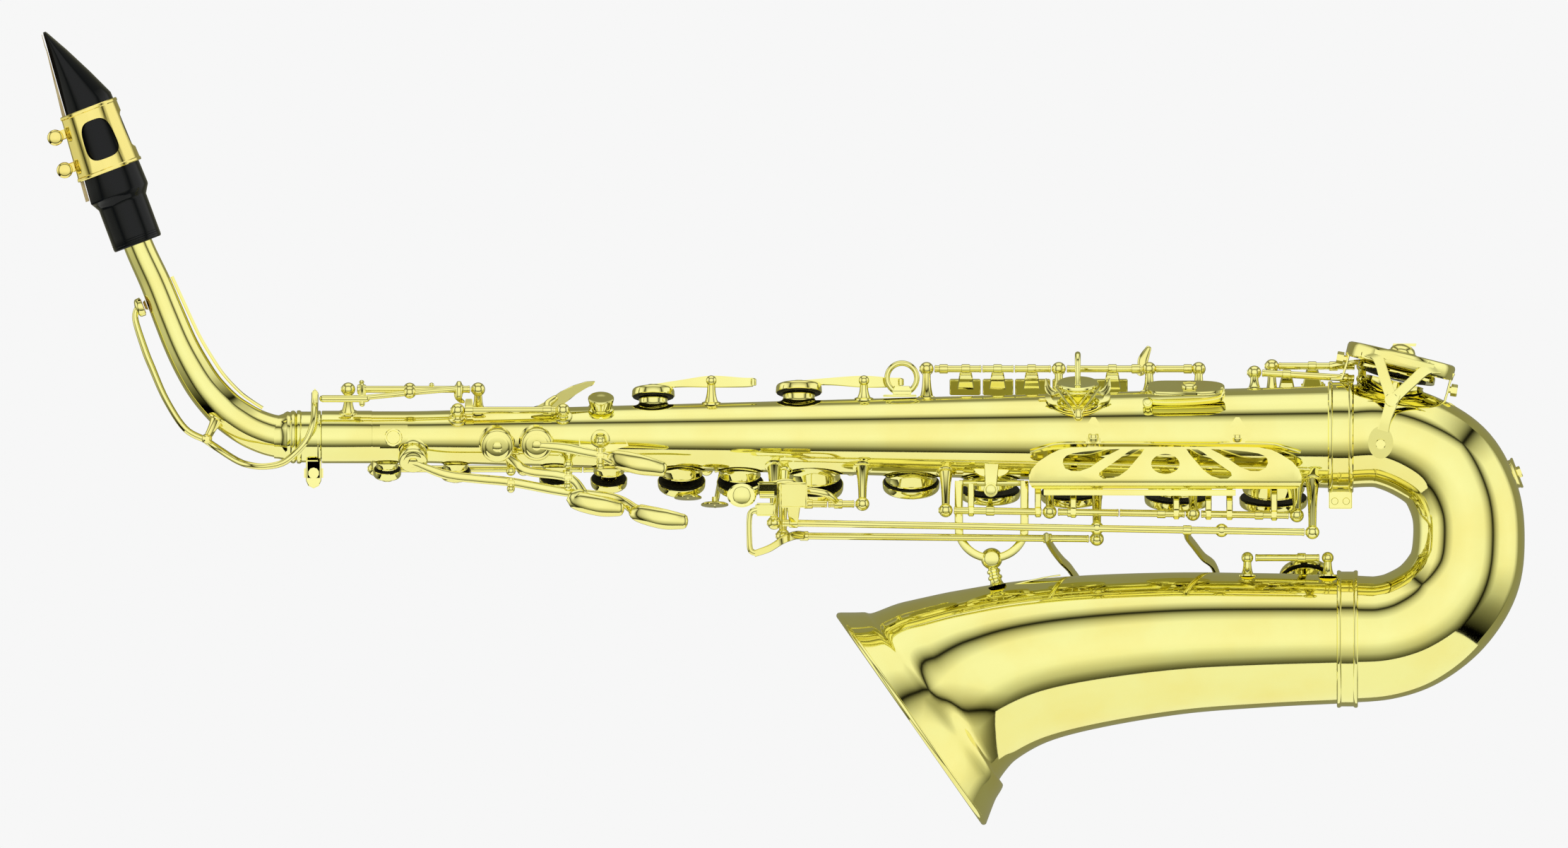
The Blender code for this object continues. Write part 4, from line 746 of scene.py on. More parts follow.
def thumb_hook():
    """Saddle ring, forked bracket with its openings, dished pad and the bent wire hook."""
    x = HOOK_X
    r = tube_r(x)
    meshes = []
    loops = []
    tilt = math.radians(28)
    for a in turns(64):
        along = 14 * math.cos(a)
        angle = tilt + 0.52 * math.sin(a)
        reach = tube_r(x + along) + 0.35
        wide = 1 if abs(along) < 12 else 2
        loop = []
        for da, dr in ((-0.05, 0), (0.05, 0), (0.05, 1.1), (-0.05, 1.1)):
            t = 1 + da * wide
            turn = tilt + (angle - tilt) * t
            loop.append(Vector((x + along * t, -math.sin(turn) * (reach + dr),
                math.cos(turn) * (reach + dr))))
        loops.append(loop)
    meshes.append(woven(loops))
    meshes.append(swept([(x + 0.3, -17.4, 7.6), (x + 0.3, -19.4, 9.4), (x + 0.3, -19.6, 12.4)],
        [1.2, 2, 1.5], 16, 0.7, Y))
    for side in (-1, 1):
        meshes.append(strap([(x + side * 9.8, -16.6, 22.6), (x + side * 6.2, -18.2, 17.4),
            (x + side * 2.8, -19.3, 12.8), (x + side * 1, -19.5, 9.4)], [4, 2.4, 1.9, 1.8], 1.3,
            (side * 0.8, 0, 0.6)))
        meshes.append(strap([(x + side * 6, -17.6, 22), (x + side * 3, -18.8, 18),
            (x + side * 0.7, -19.4, 14.6)], [1.3, 1.3, 1.5], 1.2, (side * 0.8, 0, 0.6)))
        meshes.append(strap([(x + side * 15, -13, 27.4), (x + side * 14.2, -14.6, 23),
            (x + side * 11, -16.6, 20.6), (x + side * 6.6, -17.8, 21.6)], [0.7, 3, 3.2, 1], 1,
            (side * 0.75, 0, -0.66)))
        meshes.append(block((x + side * 16.4, -9.8, 17.7), (4.2, 3, 0.9)))
    for z, reach in ((22.4, 5.6), (20.6, 3.8)):
        meshes.append(strap([(x - reach, -17.6, z), (x, -18, z - 0.2), (x + reach, -17.6, z)], 0.9, 1.2,
            (0, -0.3, 1)))
    bowl = Vector((x, -16, 15.6))
    lean = Vector((0, -0.72, 0.69)).normalized()
    dish = turned(bowl, lean, [(0.9, 9.8), (1.5, 9.6), (1.2, 9), (0.3, 6), (0, 3), (0, 0)], 48)
    bmesh.ops.scale(dish, vec=(1, 0.56, 0.56), verts=dish.verts, space=Matrix.Translation(-bowl))
    meshes.append(dish)
    out = Vector((0, -0.30, 0.95)).normalized()
    pad_base = Vector((x, -9.8, r + 2.6))
    meshes.append(turned(pad_base, out, [(-1.6, 4), (-0.6, 8.2), (0.4, 9.5), (1.4, 10), (2.2, 9.8),
        (2.6, 9.2), (2.4, 7), (2.2, 0)], 48))
    hook = [(x, -12.8, r + 3.4), (x, -13.4, r + 9), (x, -12.4, r + 14.8), (x, -9.4, r + 17.7),
        (x, -5.6, r + 17.8), (x, -2.4, r + 15)]
    meshes.append(swept(hook, [1.35, 1.35, 1.4, 1.4, 1.35, 1.1], 20, 1, X))
    meshes.append(ball(hook[0], 1.7))
    add("thumb_hook_forged", meshes, "body", ["thumb_hook"])


def thumb_plate():
    """The bent plate with one oval screw: its flat top turns under to a rolled foot."""
    across = Vector((0, -0.31, 0.95)).normalized()
    deep = X.cross(across)
    centre = Vector((133.6, -18.8, 23))
    outline = []
    for a in turns(56):
        c = math.cos(a)
        reach = 18.2 * signed_power(c, 0.62 if c > 0 else 0.3)
        outline.append(centre + X * reach + deep * (9 * signed_power(math.sin(a), 0.8)))
    meshes = [plate(outline, -0.9, 1.8, across, 0.3)]
    meshes.append(strap([(150.4, -19.8, 22.4), (151.2, -19.8, 20.4), (149.4, -19.8, 18.2),
        (143, -19.6, 17), (134, -19.4, 16.4), (124, -19.2, 16.2), (117.4, -18.9, 16.6)],
        [5, 5.4, 5, 4.6, 4.4, 4.2, 4], 1.6, (0, -0.9, 0.35)))
    meshes.append(rod((115.6, -16.6, 15.2), (115.6, -21.6, 16.6), 2.4, soft=0.5))
    meshes.append(rod((115.6, -21.6, 16.6), (115.6, -22.4, 16.8), 1.5, soft=0.3))
    head = Vector((135.2, -19.4, 23.2)) + across * 0.6
    meshes.append(turned(head, across, [(0, 3.9), (0.4, 3.9), (1.2, 3.4), (1.8, 2.2), (2, 0)], 32))
    turn = Matrix((X, deep, across)).transposed().to_4x4()
    meshes.append(block(head + across * 1.9, (6, 0.7, 0.5), turn, 0.1))
    add("thumb_plate_bent", meshes, "body", ["thumb_plate"])


def stack_guard():
    """The long guard over the lower stack: a bent plate with leaf-shaped openings, on two bolted feet."""
    def level(z):
        """The plate leans back along its top edge."""
        return GUARD_Y + (0 if z < GUARD_BEND_Z else (z - GUARD_BEND_Z) * 0.2)

    half = [(59.8, -21.6), (59.8, -18.6), (61, -15.2), (64.2, -11.6), (69.4, -8.2), (74, -6), (80, -4.9),
        (92, -4.6), (108, -4.6)]
    edge = half + [(MID_X, -4.6)] + [(2 * MID_X - x, z) for x, z in reversed(half)]
    edge += [(2 * MID_X - 61.2, -23.8), (2 * MID_X - 63, -24.4), (63, -24.4), (61.2, -23.8)]
    mesh = bmesh.new()
    ring = [mesh.verts.new((x, 0, z)) for x, z in edge]
    face = mesh.faces.new(ring)
    data = bmesh.ops.extrude_face_region(mesh, geom=[face])
    bmesh.ops.translate(mesh, vec=(0, -1.3, 0), verts=[v for v in data["geom"]
        if isinstance(v, bmesh.types.BMVert)])

    def leaf(points, mirror=False):
        path = [(2 * MID_X - x if mirror else x, z) for x, z in points]
        shape = [Vector((x, 3, z)) for x, z in path]
        return skin([[p for p in shape], [p + Vector((0, -8, 0)) for p in shape]])

    tear = [(75.6, -12.3), (75.9, -10.3), (77.4, -8.8), (80.2, -7.7), (85.4, -6.9), (93, -6.1),
        (102.6, -5.7), (98.2, -7.9), (93, -11.2), (88.4, -14.4), (83.8, -16), (79.8, -16), (76.8, -14.8)]
    lens = [(92.6, -18.2), (93, -16.6), (95.9, -14.6), (102.2, -10.2), (106.1, -7.2), (108.6, -5.9),
        (114, -5.7), (112.4, -8.1), (109.5, -11.5), (106.1, -15.5), (102.2, -18.3), (98.2, -19.6),
        (94.6, -19.6)]
    middle = [(MID_X + 6.7 * math.cos(a), -12.7 + 4.7 * math.sin(a)) for a in turns(28)]
    cuts = [leaf(tear), leaf(tear, True), leaf(lens), leaf(lens, True), leaf(middle)]
    obj = add("stack_guard_plate", [mesh], "body", ["stack_key_guard"], cuts, sharp=30)
    bend = bmesh.new()
    bend.from_mesh(obj.data)
    bmesh.ops.triangulate(bend, faces=bend.faces)
    for low in (GUARD_BEND_Z, -8, -6.4, -20.6, -21.4, -22.2, -23.2):
        bmesh.ops.bisect_plane(bend, geom=bend.verts[:] + bend.edges[:] + bend.faces[:],
            plane_co=(0, 0, (low + AXIS_Z) * MM), plane_no=(0, 0, 1))
    for vert in bend.verts:
        z = vert.co.z / MM - AXIS_Z
        over = max(0, -20 - z)
        vert.co.y += (level(z) + 0.15 * over * over) * MM
    bend.to_mesh(obj.data)
    bend.free()
    obj.data.shade_smooth()
    obj.data.set_sharp_from_angle(angle=math.radians(30))
    meshes = []
    bar = [(60.2, -21.2, -7.4), (67, -21.6, -5.6), (75, -21.9, -4.3), (99, -22.4, -4.2),
        (MID_X, -23, -4.2), (148, -23.7, -4.2), (172, -24.3, -4.3), (180, -24.2, -5.6),
        (187.6, -24, -7.4)]
    meshes.append(strap(bar, [0.8, 2.6, 3.8, 3.8, 3.8, 3.8, 3.8, 2.6, 0.8], 0.9, (0, -0.7, 0.7), 3))
    meshes.append(strap([(66.7, -23, -26), (90, -23.2, -26), (130, -23.4, -26.2), (157, -23.6, -26.2)],
        2.9, 1.2, Z, 3))
    for x in (90.1, 157.8):
        meshes.append(block((x, -20.8, -2.4), (6.6, 4.2, 4.6)))
        meshes.append(turned(Vector((x, -21, -1.8)), Vector((0, -0.25, 1)),
            [(0, 2.6), (0.3, 2.9), (1.6, 2.9), (1.9, 2.5), (3, 2.4), (3.3, 2.2), (3.3, 1.2), (2.5, 1.1),
            (2.5, 0)], 24))
        lozenge = [(x + 0.9, 9.3), (x + 6.3, 0.9), (x + 6.3, 0.1), (x + 2.9, -3), (x - 2.9, -3),
            (x - 6.3, 0.1), (x - 6.3, 0.9), (x - 0.9, 9.3)]
        meshes.append(on_tube(lozenge, 0.1, 0.45))
        meshes.append(block((x, -21, -3.2), (7, 1.6, 2.6)))
    add("stack_guard_feet", meshes, "body", ["stack_key_guard"], sharp=30)


def low_c_guard():
    """The dish over the low C cup with its forked front leg, side feet and bumper screws."""
    out = LOW_C_OUT
    top = Vector((235.4, 2, 39.2))
    dish = hoop(top, out, [(-6.8, 25), (-6.8, 25.8), (-6.3, 26), (-1.6, 26), (-0.5, 25.6), (0, 24.6),
        (0.1, 12), (0.1, 4), (-1, 4), (-1, 24.2), (-1.6, 24.9)], ROUND)
    dome = [turned(top, out, [(-1.2, 7.2), (0.2, 7.2), (0.7, 6.6), (0.9, 6), (1.3, 6), (2.8, 5.2),
        (3.8, 3.6), (4.4, 1.6), (4.5, 0)], 40)]
    turn = Matrix((X, Y, out)).transposed().to_4x4()
    dome.append(block(top + out * 4.2, (11, 1, 1.4), turn, 0.1))
    legs = [strap([(210.8, 2, 42), (210.2, 2, 38.6), (209.2, 2, 34.4), (207.2, 2, 28.2), (206.2, 2, 27.3),
        (201.8, 2, 27.2)], 9, 1.1, Y), strap([(259.8, 2, 29.8), (258, 2, 26.4), (256.6, 2, 21),
        (255.4, 2, 16), (258.4, 2, 15.2), (266.2, 2, 9.4)], 9, 1.1, Y)]
    fork = [strap([(221.8, -21.2, 39.4), (224.4, -22.6, 36.4), (227, -24.6, 28), (230.4, -26.2, 18)],
        [9, 5.2, 5, 5.4], 1.2, (1, 0, 0.3)), strap([(250.6, -20.6, 32.8), (246, -22.4, 31.2),
        (239, -24.6, 25), (231.4, -26.2, 18)], [8, 5.4, 5, 5.4], 1.2, (0.7, 0, -0.72)),
        strap([(222.4, -21.4, 39.6), (236, -24, 36), (250, -21, 32.6)], 3.4, 1.2, (0.24, 0, 0.97)),
        strap([(231.4, -26.2, 20.4), (230, -26.4, 15), (227.8, -26.2, 8.4), (226.4, -25.7, 3)],
        [6.6, 5.8, 5, 5.6], 1.2, (1, 0, -0.3))]
    foot = []
    for lift in (0.15, 0.8):
        ring = []
        for a in turns(40):
            px = 225.2 + 5.9 * math.cos(a)
            pz = -2.6 + 7.6 * math.sin(a)
            ring.append(Vector((px, -math.sqrt((24.75 + lift) ** 2 - (pz - 0.6) ** 2), pz)))
        foot.append(ring)
    boss = [turned(Vector((230.3, -26.3, 17.4)), -Y, [(0, 3.2), (1, 3.2), (1.3, 2.9), (1.3, 0)], 32),
        turned(Vector((225.2, -25.2, -3.4)), -Y, [(0, 2.4), (0.7, 2.4), (0.9, 2.1), (0.9, 0)], 32)]
    meshes = [dish, skin(foot)] + dome + legs + fork + boss
    meshes.append(turned((210, 2, 36.6), Vector((-1, 0, 0.18)), [(0, 1.6), (2.2, 1.6), (2.3, 2.9),
        (5.2, 2.9), (5.5, 2.6), (5.5, 0)], 6))
    meshes.append(turned((256.6, 2, 22.4), Vector((1, 0, -0.15)), [(0, 1.6), (1.6, 1.6), (1.7, 2.9),
        (4.4, 2.9), (4.7, 2.6), (4.7, 0)], 6))
    add("low_c_guard_dish", meshes, "body", ["low_c_guard"], sharp=30)


BEND_CENTRE = Vector((208, 0, -48))
BEND_OUT = Vector((0.934, 0, 0.358))
BEND_ALONG = Vector((-0.358, 0, 0.934))


def far_guards():
    rows = ((84.6, 1.2), (86.2, 4), (87, 10), (86.2, 23), (80.8, 36), (70, 43), (52, 43.6), (42, 38),
        (36.8, 28), (38.6, 19.2), (42, 17))
    path = [BEND_CENTRE + BEND_OUT * reach + Vector((0, y, 0)) for reach, y in rows]
    meshes = [strap(path, [9, 12, 15, 14, 13, 12, 12, 12, 11, 9, 9], 1.2, BEND_ALONG)]
    meshes.append(turned(BEND_CENTRE + BEND_OUT * 86.7 + Vector((0, 8, 0)), BEND_OUT,
        [(0, 1.6), (0.4, 1.6), (0.5, 2.7), (2.2, 2.7), (2.5, 2.4), (2.5, 0)], 6))
    add("low_eb_guard_band", meshes, "body", ["low_eb_guard"])
    path = [(46, 39.4, -121.4), (50, 47, -115), (55, 60.4, -106), (78, 64, -103), (110, 62.4, -100),
        (143, 60, -97), (166, 54.6, -96), (171.6, 42, -96), (174, 31.8, -96)]
    meshes = [strap(path, [9, 6, 6, 9, 6, 9, 6, 6, 9], 1.6, Z)]
    for x, y, z in ((78, 64, -103), (143, 60, -97)):
        meshes.append(hoop((x, y - 1.4, z), Y, [(0, 3.2), (0, 6.2), (0.6, 6.6), (1.7, 6.6), (2.1, 6.2),
            (2.1, 3.2)], 40))
        meshes += screw_head(Vector((x, y - 0.1, z)), Y, 2.6, 0.8)
    add("bell_key_guard_band", meshes, "body", ["bell_key_guard"])


def brace_foot():
    """The thin leaf-shaped plate that carries the brace's stem on the bell."""
    rows = ((31.9, -74.4, 0.5), (40, -72.6, 1.6), (52, -69.6, 3), (62, -67.2, 2.6), (70, -65.6, 1.6),
        (74.6, -65, 0.6))
    path = [Vector((x, -8, z)) for x, z, _ in rows]
    return strap(path, [w for _, _, w in rows], 0.7, Y)


def tube_trim():
    """Soldered plates and small fittings on the body tube: sleeve, patch, a small round fitting and a
    guard lozenge.
    """
    meshes = [hoop((-261.2, 0, 0), X, [(-11.6, 12.05), (-11.6, 12.35), (11.6, 12.35), (12, 12.2),
        (12, 12.05)], ROUND)]
    grid = bmesh.new()
    layers = []
    for lift in (0.05, 0.4):
        layer = []
        for j in range(9):
            pz = -5.4 + 11 * j / 8
            layer.append([grid.verts.new((px, -math.sqrt((tube_r(px) + lift) ** 2 - pz * pz), pz))
                for px in (-245.6, -232.6)])
        layers.append(layer)
    low, high = layers
    for j in range(8):
        grid.faces.new([high[j][0], high[j][1], high[j + 1][1], high[j + 1][0]])
        grid.faces.new([low[j][0], high[j][0], high[j + 1][0], low[j + 1][0]])
        grid.faces.new([low[j][1], low[j + 1][1], high[j + 1][1], high[j][1]])
    grid.faces.new([low[0][0], low[0][1], high[0][1], high[0][0]])
    grid.faces.new([low[8][0], high[8][0], high[8][1], low[8][1]])
    meshes.append(grid)
    meshes.append(hoop((-239.3, -12.3, -0.2), -Y, [(0, 3), (0, 4.2), (0.8, 4.2), (1.1, 3.9), (1.1, 3.2),
        (0.8, 3)], 40))
    meshes.append(turned((-239.3, -11.9, -0.2), -Y, [(0, 3.1), (0.7, 3.1), (0.8, 0)], 40))
    lozenge = [(-152, 0.6), (-141.6, 9.4), (-131, 0.6), (-128.6, -4.2), (-141.6, -7.6), (-151.9, -4.4)]
    meshes.append(on_tube(lozenge, 0.12, 0.4))
    add("body_trim", meshes, "body", ["body_tube"], sharp=30)


# ---------------------------------------------------------------- keys

LOWER_TUBES = {"f_sharp": (24.4, 65.7, 41.5), "f": (73.3, 102, 79.8), "e": (102.4, 133.1, 122),
    "d": (140.7, 182, 168)}
UPPER_TUBES = {"c": (-174.2, -150.4, -162.8), "b": (-150, -122, -137.9), "bis": (-121.6, -95.8, -103.7),
    "a": (-88.2, -60.4, -76.1), "g": (-60, -27.8, -41.2)}
LOWER_LUGS = {"f_sharp": (32.5, 64), "f": (80.6,), "e": (129.1,), "d": (144.2, 154.1, 175.1)}
FINGER_DISCS = {"bis": (-100.7, -25.4), "a": (-88.1, -28.8)}
CUP_LAP = 1.6            # how far a cup reaches past its tone hole
LOWER_OPEN = -6
UPPER_OPEN = 6
BELL_OPEN = 4.5
LOW_C_OPEN = -4


def spun(mesh, pivot, axis, degrees):
    """A mesh turned about an axis through its pivot."""
    turn = Matrix.Rotation(math.radians(degrees), 4, Vector(axis))
    bmesh.ops.transform(mesh,
        matrix=Matrix.Translation(pivot) @ turn @ Matrix.Translation(-Vector(pivot)), verts=mesh.verts)
    return mesh


def cup(rim, out, radius):
    """A stamped key cup: rolled edge, straight wall, stepped shoulder and a shallow dome."""
    shape = [(0.7, radius - 0.9), (0.7, radius - 0.15), (0.95, radius + 0.1), (1.5, radius + 0.05),
        (3.3, radius - 0.05), (4, radius - 0.3), (4.5, radius - 0.8), (4.75, radius - 1.5),
        (4.8, radius - 2.2), (5, radius - 2.5), (5.25, radius * 0.55), (5.4, radius * 0.25), (5.42, 0)]
    shell_top = turned(Vector(rim) + out * GAP, out, shape, 56, caps=False)
    rivet = turned(Vector(rim) + out * (GAP + 0.15), -out, [(-0.4, radius * 0.42), (0, radius * 0.42),
        (0.3, radius * 0.38), (0.45, radius * 0.12), (0.8, 0)], 32)
    return [shell_top, rivet]


def pad(rim, out, radius):
    """The leather-covered pad, bulging a little from its cup."""
    shape = [(0.15, 0), (0.15, radius - 2.2), (0.02, radius - 1.7), (0, radius - 1),
        (0.25, radius - 0.45), (0.9, radius - 0.3), (2.6, radius - 0.35), (2.8, 0)]
    return turned(Vector(rim) + out * GAP, out, shape, 56)


def tube_on(line, low, high, collars=(), radius=ROD_R):
    """A hinge tube with turned end rings, and collars where its arms are brazed on."""
    axis = Vector((1, 0, line[2])).normalized()
    start = on_line(line, low)
    span = (on_line(line, high) - start).length
    shape = [(0, radius - 0.3), (0.12, radius - 0.1), (0.2, radius + 0.12), (1, radius + 0.12),
        (1.1, radius - 0.06), (1.25, radius), (span - 1.25, radius), (span - 1.1, radius - 0.06),
        (span - 1, radius + 0.12), (span - 0.2, radius + 0.12), (span - 0.12, radius - 0.1),
        (span, radius - 0.3)]
    made = [turned(start, axis, shape, 24)]
    for x in collars:
        made.append(turned(on_line(line, x) - axis * 2.1, axis, [(0, radius - 0.1), (0.15, radius + 0.45),
            (0.5, radius + 0.6), (3.7, radius + 0.6), (4.05, radius + 0.45), (4.2, radius - 0.1)], 24))
    return made


def line_key(name, line, tube, collars, meshes, pads=(), open_by=0):
    """A hinged key, drawn shut and turned open about its own line."""
    pivot = on_line(line, 0.5 * (tube[0] + tube[1]))
    axis = Vector((1, 0, line[2])).normalized()
    shapes = [spun(m, pivot, axis, open_by) for m in tube_on(line, *tube, collars) + list(meshes)]
    add(name + "_brass", shapes, name, [name])
    if pads:
        add(name + "_pad", [spun(m, pivot, axis, open_by) for m in pads], name, [name], sharp=50,
            mat=LEATHER)


def stack_cup(line, x_arm, name, lift=1.6):
    """A stack key's cup, its curved arm and its pad."""
    radius = HOLE[name][1]
    rim, out = hole_rim(name)
    top = rim + out * (GAP + 5.3)
    start = on_line(line, x_arm)
    middle = start.lerp(top, 0.52) + out * lift
    near = start.lerp(top, 0.8) + out * (lift * 0.7)
    across = (top - start).normalized()
    made = cup(rim, out, radius + CUP_LAP) + [strap([start, middle, near, top + across * (radius * 0.55)],
        [4.4, 3.4, 2.9, 2.6], 1.7, out.cross(across), 6), turned(top - out * 0.4, out,
        [(0, 3), (0.9, 3), (1.3, 2.6), (1.4, 0)], 28)]
    return made, [pad(rim, out, radius + CUP_LAP)]


def lug_arm(line, x):
    """A narrow upright arm brazed to a hinge tube, its lower end a six-sided lug."""
    at = on_line(line, x)
    return [strap([at - Z * 2, at + Vector((0, 0.6, 5)), at + Vector((0, 1.6, 12.6))], 3, 2.6, X, 3),
        turned(at - X * 1.2, X, [(0, 2.4), (0.3, 2.7), (2.1, 2.7), (2.4, 2.4)], 6)]


def finger_disc(x, z):
    """A finger's disc below the tube: a dished plate on a stem from the hinge line."""
    face = Vector((0, -0.25, -1)).normalized()
    stem = [on_line(UPPER_LINE, x + 3.4), (x + 0.6, 16, z - 1), (x, 4, z + 0.6), (x, 0, z + 0.4)]
    disc = [(-0.9, 2), (-0.7, 5.2), (-0.2, 6.3), (0.3, 6.5), (0.7, 6.3), (0.9, 5.6), (0.7, 3), (0.6, 0)]
    return [swept(stem, [1.5, 1.5, 1.4, 1.3], 20, 0.8, X), turned((x, 0, z), face, disc, 48),
        turned(Vector((x, 0, z)) - face * 3.4, face, [(0, 1.3), (2, 1.4), (2.8, 2.2), (3, 2.4)], 24)]


def stacks():
    for name, (low, high, x_arm) in LOWER_TUBES.items():
        made, pads = stack_cup(LOWER_LINE, x_arm, name)
        for x in LOWER_LUGS[name]:
            made += lug_arm(LOWER_LINE, x)
        line_key(name + "_key", LOWER_LINE, (low, high), (x_arm,), made, pads, LOWER_OPEN)
    for name, (low, high, x_arm) in UPPER_TUBES.items():
        made, pads = stack_cup(UPPER_LINE, x_arm, name)
        if name in FINGER_DISCS:
            made += finger_disc(*FINGER_DISCS[name])
        line_key(name + "_key", UPPER_LINE, (low, high), (x_arm,), made, pads, UPPER_OPEN)
    made, pads = stack_cup(UPPER_LINE, 0, "g_sharp")
    line_key("g_sharp_key", UPPER_LINE, (-20.2, 4.2), (0,), made, pads)
    for name, tube, x_arm in (("high_f_sharp", (-244.2, -214.2), -238),
            ("high_e", (-213.8, -181.8), -206)):
        made, pads = stack_cup(UPPER_LINE, x_arm, name, 0.6)
        line_key(name + "_key", UPPER_LINE, tube, (x_arm,), made, pads)


def spoon(points, widths, thick):
    """A thick rounded key touch: a flat oval blade swelling along its path."""
    return swept(points, widths, 28, thick, Y, 8)


PALM = (("palm_d", (-157, -18.5, -19), 2.9, ((-181.8, -16.5, -12.2), (-175.1, -17.5, -16.2),
    (-157, -18.5, -19), (-150, -22, -27)), ((-153.5, -23, -29.5), (-142, -26, -32.5),
    (-132.5, -25, -33.8))), ("palm_eb", (-141.9, -24, -8.6), 3.7, ((-160, -23, -4.9), (-148.5, -24, -7.2),
    (-141.9, -24, -8.6), (-136, -25, -11)), ((-134, -26, -10.5), (-123, -29, -13), (-112.5, -28, -15.2))),
    ("palm_f", (-184, -16, -21.2), 2, ((-215, -14.5, -17.6), (-200, -15.5, -19.6), (-184, -16, -21.2),
    (-160, -15, -25.6), (-136, -18, -28.6), (-126, -24, -34)), ((-123.5, -26, -35.8), (-112, -29, -38.6),
    (-102.5, -28, -39.8))), )


def palm_keys():
    for name, pivot, half, path, touch in PALM:
        _, radius, _ = HOLE[name]
        rim, out = hole_rim(name)
        top = rim + out * (GAP + 5.4)
        pivot = Vector(pivot)
        tube = [(-half, ROD_R - 0.2), (-half + 0.2, ROD_R + 0.3), (-half + 0.9, ROD_R + 0.3),
            (-half + 1.1, ROD_R), (half - 1.1, ROD_R), (half - 0.9, ROD_R + 0.3),
            (half - 0.2, ROD_R + 0.3), (half, ROD_R - 0.2)]
        made = cup(rim, out, radius + CUP_LAP) + [turned(pivot, Z, tube, 24),
            ball(pivot - Z * (half + 1.2), 1.9, Z)]
        widths = [2.2] * (len(path) + 1)
        widths[0] = 1.5
        widths[-1] = 2.7
        made.append(swept([top, *path], widths, 24, 0.5, Y))
        made.append(turned(top - out * 0.6, out, [(0, 2.4), (1.2, 2.4), (1.5, 2), (1.6, 0)], 28))
        made.append(spoon([path[-1], *touch], [2.9, 4.3, 4.8, 3.5], 0.55))
        made.append(block(pivot + Vector((0, -0.4, 0)), (4.2, 3.6, min(2.6, half)), edge=0.6))
        add(name + "_key_brass", made, name + "_key", [name + "_key"])
        add(name + "_key_pad", [pad(rim, out, radius + CUP_LAP)], name + "_key", [name + "_key"],
            sharp=50, mat=LEATHER)


def side_levers():
    """The side C and side B flat cups on their rocking levers."""
    for name, x_pivot, x_tail in (("side_c", -89.7, -70), ("side_bb", -17.9, -0.6)):
        _, radius, _ = HOLE[name]
        rim, out = hole_rim(name)
        top = rim + out * (GAP + 5.4)
        pivot = Vector((x_pivot, 4, SIDE_LEVER_Z))
        tube = [(-3.2, ROD_R - 0.1), (-3, ROD_R + 0.25), (-2.2, ROD_R + 0.25), (-2, ROD_R), (2, ROD_R),
            (2.2, ROD_R + 0.25), (3, ROD_R + 0.25), (3.2, ROD_R - 0.1)]
        made = cup(rim, out, radius + 3.4) + [turned(pivot, Y, tube, 24),
            turned(top - out * 0.5, out, [(0, 3.2), (1, 3.2), (1.4, 2.8), (1.5, 0)], 28)]
        made.append(strap([top + Vector((-radius * 0.4, 2, -0.2)), top.lerp(pivot, 0.5) + Z * 0.1,
            pivot - Z * 0.5, (x_tail - 5, 5, SIDE_LEVER_Z - 0.9), (x_tail, 5, SIDE_LEVER_Z - 0.7)],
            [2, 3.6, 5.6, 4.6, 4.2], 1.8, Z))
        made.append(turned((x_tail, 5, SIDE_LEVER_Z - 2.4), Z, [(0, 1), (0.3, 1.5), (3, 1.5), (3.3, 1.1),
            (3.6, 0.6)], 20))
        add(name + "_lever_brass", made, name + "_lever", [name + "_lever"])
        add(name + "_lever_pad", [pad(rim, out, radius + 3.4)], name + "_lever", [name + "_lever"],
            sharp=50, mat=LEATHER)


def rounded_touch(centre, size, turn_about_x=0, edge=0.9):
    """A flat key touch: a small bar with generously rounded edges."""
    return block(centre, size, Matrix.Rotation(turn_about_x, 4, "X"),
        min(edge, size[1] * 0.45, size[2] * 0.45))


def side_touches():
    """The side key touches on their line of hinge tubes."""
    for name, tube, x, low, high in (("side_e_touch", (15.3, 37.4), 30, 22.4, 37),
            ("side_c_touch", (37.8, 52.6), 45, 38, 52.4), ("side_bb_touch", (53, 70.1), 61, 53.2, 69.8),
            ("high_f_sharp_touch", (77.5, 112.6), 99, 70.8, 106.2)):
        start = on_line(SIDE_LINE, x)
        bend = start + Vector((0, 9, -3))
        end = start + Vector((0, 15, -9))
        made = [strap([start, bend, end], [4.4, 6, 8], 1.8, X), block((0.5 * (low + high), end.y + 0.6,
            23.5), (high - low, 1.8, 8.4), Matrix.Rotation(math.radians(30), 4, "X"), 0.45)]
        if name == "high_f_sharp_touch":
            leaf = [(110.4, 9, 32), (112.6, 14, 30), (113.4, 16, 36), (116.2, 17.4, 42)]
            made.append(swept(leaf, [1.5, 1.4, 2.5, 1.3], 24, 0.55, Y))
        collars = (19.6, x) if name == "side_e_touch" else ((x, 110) if name == "high_f_sharp_touch"
            else (x,))
        line_key(name, SIDE_LINE, tube, collars, made)


BELL_ARMS = {"low_bb": ((68, -20, -47), (70.8, -8, -53), (74.8, 6, -59.4), (79.6, 23, -66),
    (83.6, 43, -77), (79, 47, -100)), "low_b": ((134.4, -20, -47.4), (137.4, -8, -52.4),
    (141.6, 5, -58.8), (146.6, 21, -64.6), (148.4, 40.5, -76), (143.5, 42.5, -94)), }


def big_cup(rim, radius, rib_x):
    """A bell key's cup with a raised centre and a short rib under its arm."""
    made = cup(rim, Y, radius)
    made.append(hoop(rim + Y * (GAP + 5), Y, [(0, radius * 0.55), (0.5, radius * 0.55),
        (0.5, radius * 0.5), (0, radius * 0.5)], 48))
    made.append(rod(rim + Vector((rib_x, GAP + 5.6, 0)), rim + Vector((0, GAP + 5.6, 0)), 1.6))
    return made


